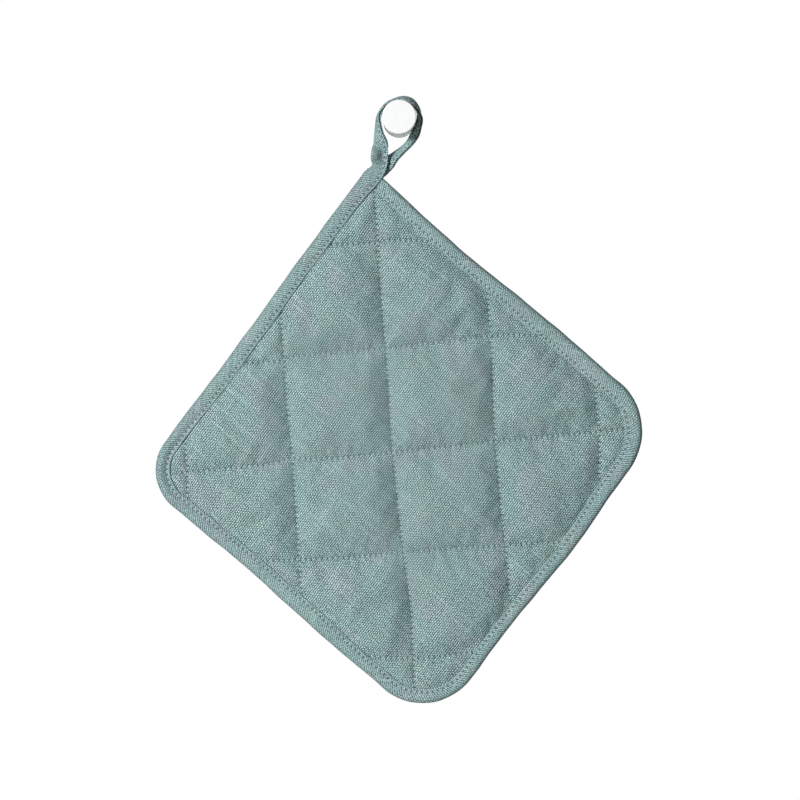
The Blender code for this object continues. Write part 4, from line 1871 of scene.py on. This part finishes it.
@dataclass(frozen=True)
class SatinPaint:
    """White satin paint sprayed on metal: nearly even, a little duller in soft clouds."""

    name: str = "white_satin_paint"
    colour: str = "F7F9F9"
    shade: str = "EEF1F1"

    def build(self) -> bpy.types.Material:
        """The material.

        Returns:
            The material.
        """
        material, tree, shader = new_material(self.name)
        where = add_node(tree, "TexCoord")
        cloud = add_node(
            tree,
            "TexNoise",
            {"Scale": 190.0, "Detail": 3.0},
            {"Vector": where.outputs["Object"]},
        )
        colour = add_node(
            tree,
            "Mix",
            {"data_type": "RGBA", 6: linear(self.colour), 7: linear(self.shade)},
            {0: cloud.outputs[0]},
        )
        tree.links.new(colour.outputs[2], shader.inputs["Base Color"])
        dull = add_node(tree, "MapRange", {"To Min": 0.52, "To Max": 0.60}, {"Value": cloud.outputs[0]})
        tree.links.new(dull.outputs[0], shader.inputs["Roughness"])
        return material


@dataclass(frozen=True)
class PaleBoard:
    """The matt pale floor of the studio."""

    name: str = "pale_studio_floor"
    colour: str = "F2F2F0"

    def build(self) -> bpy.types.Material:
        """The material.

        Returns:
            The material.
        """
        material, tree, shader = new_material(self.name)
        shader.inputs["Base Color"].default_value = linear(self.colour)
        shader.inputs["Roughness"].default_value = 0.9
        return material


# ---------------------------------------------------------------------------------------------
# The studio


@dataclass(frozen=True)
class SoftLight:
    """A square area light turned to the pot holder: where it stands, its size and its power."""

    name: str
    place: tuple[float, float, float]
    size: float
    power: float


@dataclass
class Studio:
    """A pale floor, a low soft light from the left, a weak one above, one behind, and the camera."""

    target: tuple[float, float, float] = (0.0, -0.01, -0.16)
    lights: tuple[SoftLight, ...] = (
        SoftLight("key", (-1.15, -1.45, 0.33), 0.50, 39.0),
        SoftLight("fill", (0.37, -1.04, 1.40), 1.0, 5.0),
        SoftLight("back_key", (0.3, 1.6, 0.3), 1.0, 20.0),
    )
    camera_place: tuple[float, float, float] = (0.0004, -1.4, -0.1582)
    lens: float = 110.7
    ambient: float = 0.05
    floor_z: float = -0.5
    floor_radius: float = 0.6

    def build(self) -> None:
        """Makes the world, the lights, the floor and the camera."""
        scene = bpy.context.scene
        scene.view_settings.view_transform = "Standard"
        self.make_world(scene)
        for light in self.lights:
            self.make_light(light)
        self.make_floor()
        data = bpy.data.cameras.new("camera")
        data.lens = self.lens
        data.sensor_width = 36.0
        data.clip_start = 0.05
        camera = bpy.data.objects.new("camera", data)
        camera.location = self.camera_place
        camera.rotation_euler = (math.pi / 2, 0.0, 0.0)
        scene.collection.objects.link(camera)
        scene.camera = camera

    def make_world(self, scene: bpy.types.Scene) -> None:
        """A white backdrop that lights the object less than it shows.

        Args:
            scene: The scene.
        """
        world = bpy.data.worlds.new("white studio")
        world.use_nodes = True
        tree = world.node_tree
        shown = tree.nodes["Background"]
        shown.inputs["Color"].default_value = (1.0, 1.0, 1.0, 1.0)
        shown.inputs["Strength"].default_value = 1.0
        soft = add_node(tree, "Background", {"Color": (1.0, 1.0, 1.0, 1.0), "Strength": self.ambient})
        path = add_node(tree, "LightPath")
        mix = add_node(
            tree,
            "MixShader",
            links={0: path.outputs["Is Camera Ray"], 1: soft.outputs[0], 2: shown.outputs[0]},
        )
        tree.links.new(mix.outputs[0], tree.nodes["World Output"].inputs["Surface"])
        scene.world = world

    def make_light(self, light: SoftLight) -> None:
        """Hangs one light, turned to the pot holder.

        Args:
            light: The light.
        """
        data = bpy.data.lights.new(light.name, "AREA")
        data.energy = light.power
        data.size = light.size
        lamp = bpy.data.objects.new(light.name, data)
        lamp.location = light.place
        aim = Vector(self.target) - Vector(light.place)
        lamp.rotation_euler = aim.to_track_quat("-Z", "Y").to_euler()
        bpy.context.scene.collection.objects.link(lamp)

    def make_floor(self) -> None:
        """Lays the round floor below the pot holder, with a softened edge."""
        bpy.ops.object.select_all(action="DESELECT")
        bpy.ops.mesh.primitive_cylinder_add(
            vertices=128,
            radius=self.floor_radius,
            depth=0.02,
            location=(0.0, 0.0, self.floor_z - 0.01),
        )
        floor = bpy.context.object
        floor.name = floor.data.name = "studio_floor"
        soft = floor.modifiers.new("soft edge", "BEVEL")
        soft.width = 0.006
        soft.segments = 4
        bpy.ops.object.modifier_apply(modifier=soft.name)
        bpy.ops.object.transform_apply(location=True, rotation=True, scale=True)
        bpy.ops.object.shade_smooth_by_angle(angle=math.radians(40.0))
        floor.data.materials.append(PaleBoard().build())


# ---------------------------------------------------------------------------------------------
# The whole


def dress(piece: bpy.types.Object, material: bpy.types.Material) -> None:
    """Gives a piece its material and its body.

    Args:
        piece: The piece.
        material: Its finish.
    """
    piece.data.materials.clear()
    piece.data.materials.append(material)
    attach(piece, BODY)
    log.info("%s: %d faces", piece.name, len(piece.data.polygons))


def main() -> None:
    """Builds the pot holder, the knob and the studio."""
    logging.basicConfig(level=logging.INFO, format="%(name)s: %(message)s")
    quilt = Quilt(BoundSquare())
    panel = PlainLinen("plain_weave_linen", Lay.PANEL)
    bias = PlainLinen("bias_cut_linen_tape", Lay.BIAS_TAPE, level=0.14, weave=0.56, grain=0.75)
    thread = SewingThread().build()

    pad = QuiltedPad(quilt).build()
    dress(pad, panel.build())
    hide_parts("quilted_pad")

    strip = FoldedTape(quilt)
    tape = strip.build()
    dress(tape, bias.build())
    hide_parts("edge_binding", "hanging_loop")

    sewing = Sewing()
    quilting = sewing.build("quilting_stitches", sewing.quilting(quilt))
    dress(quilting, thread)
    binding = sewing.build("tape_stitches", [strip.stitch_line(face) for face in Face])
    dress(binding, thread)

    knob = WallKnob().build()
    dress(knob, SatinPaint().build())
    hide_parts("wall_knob")

    Studio().build()


if __name__ == "__main__":
    main()
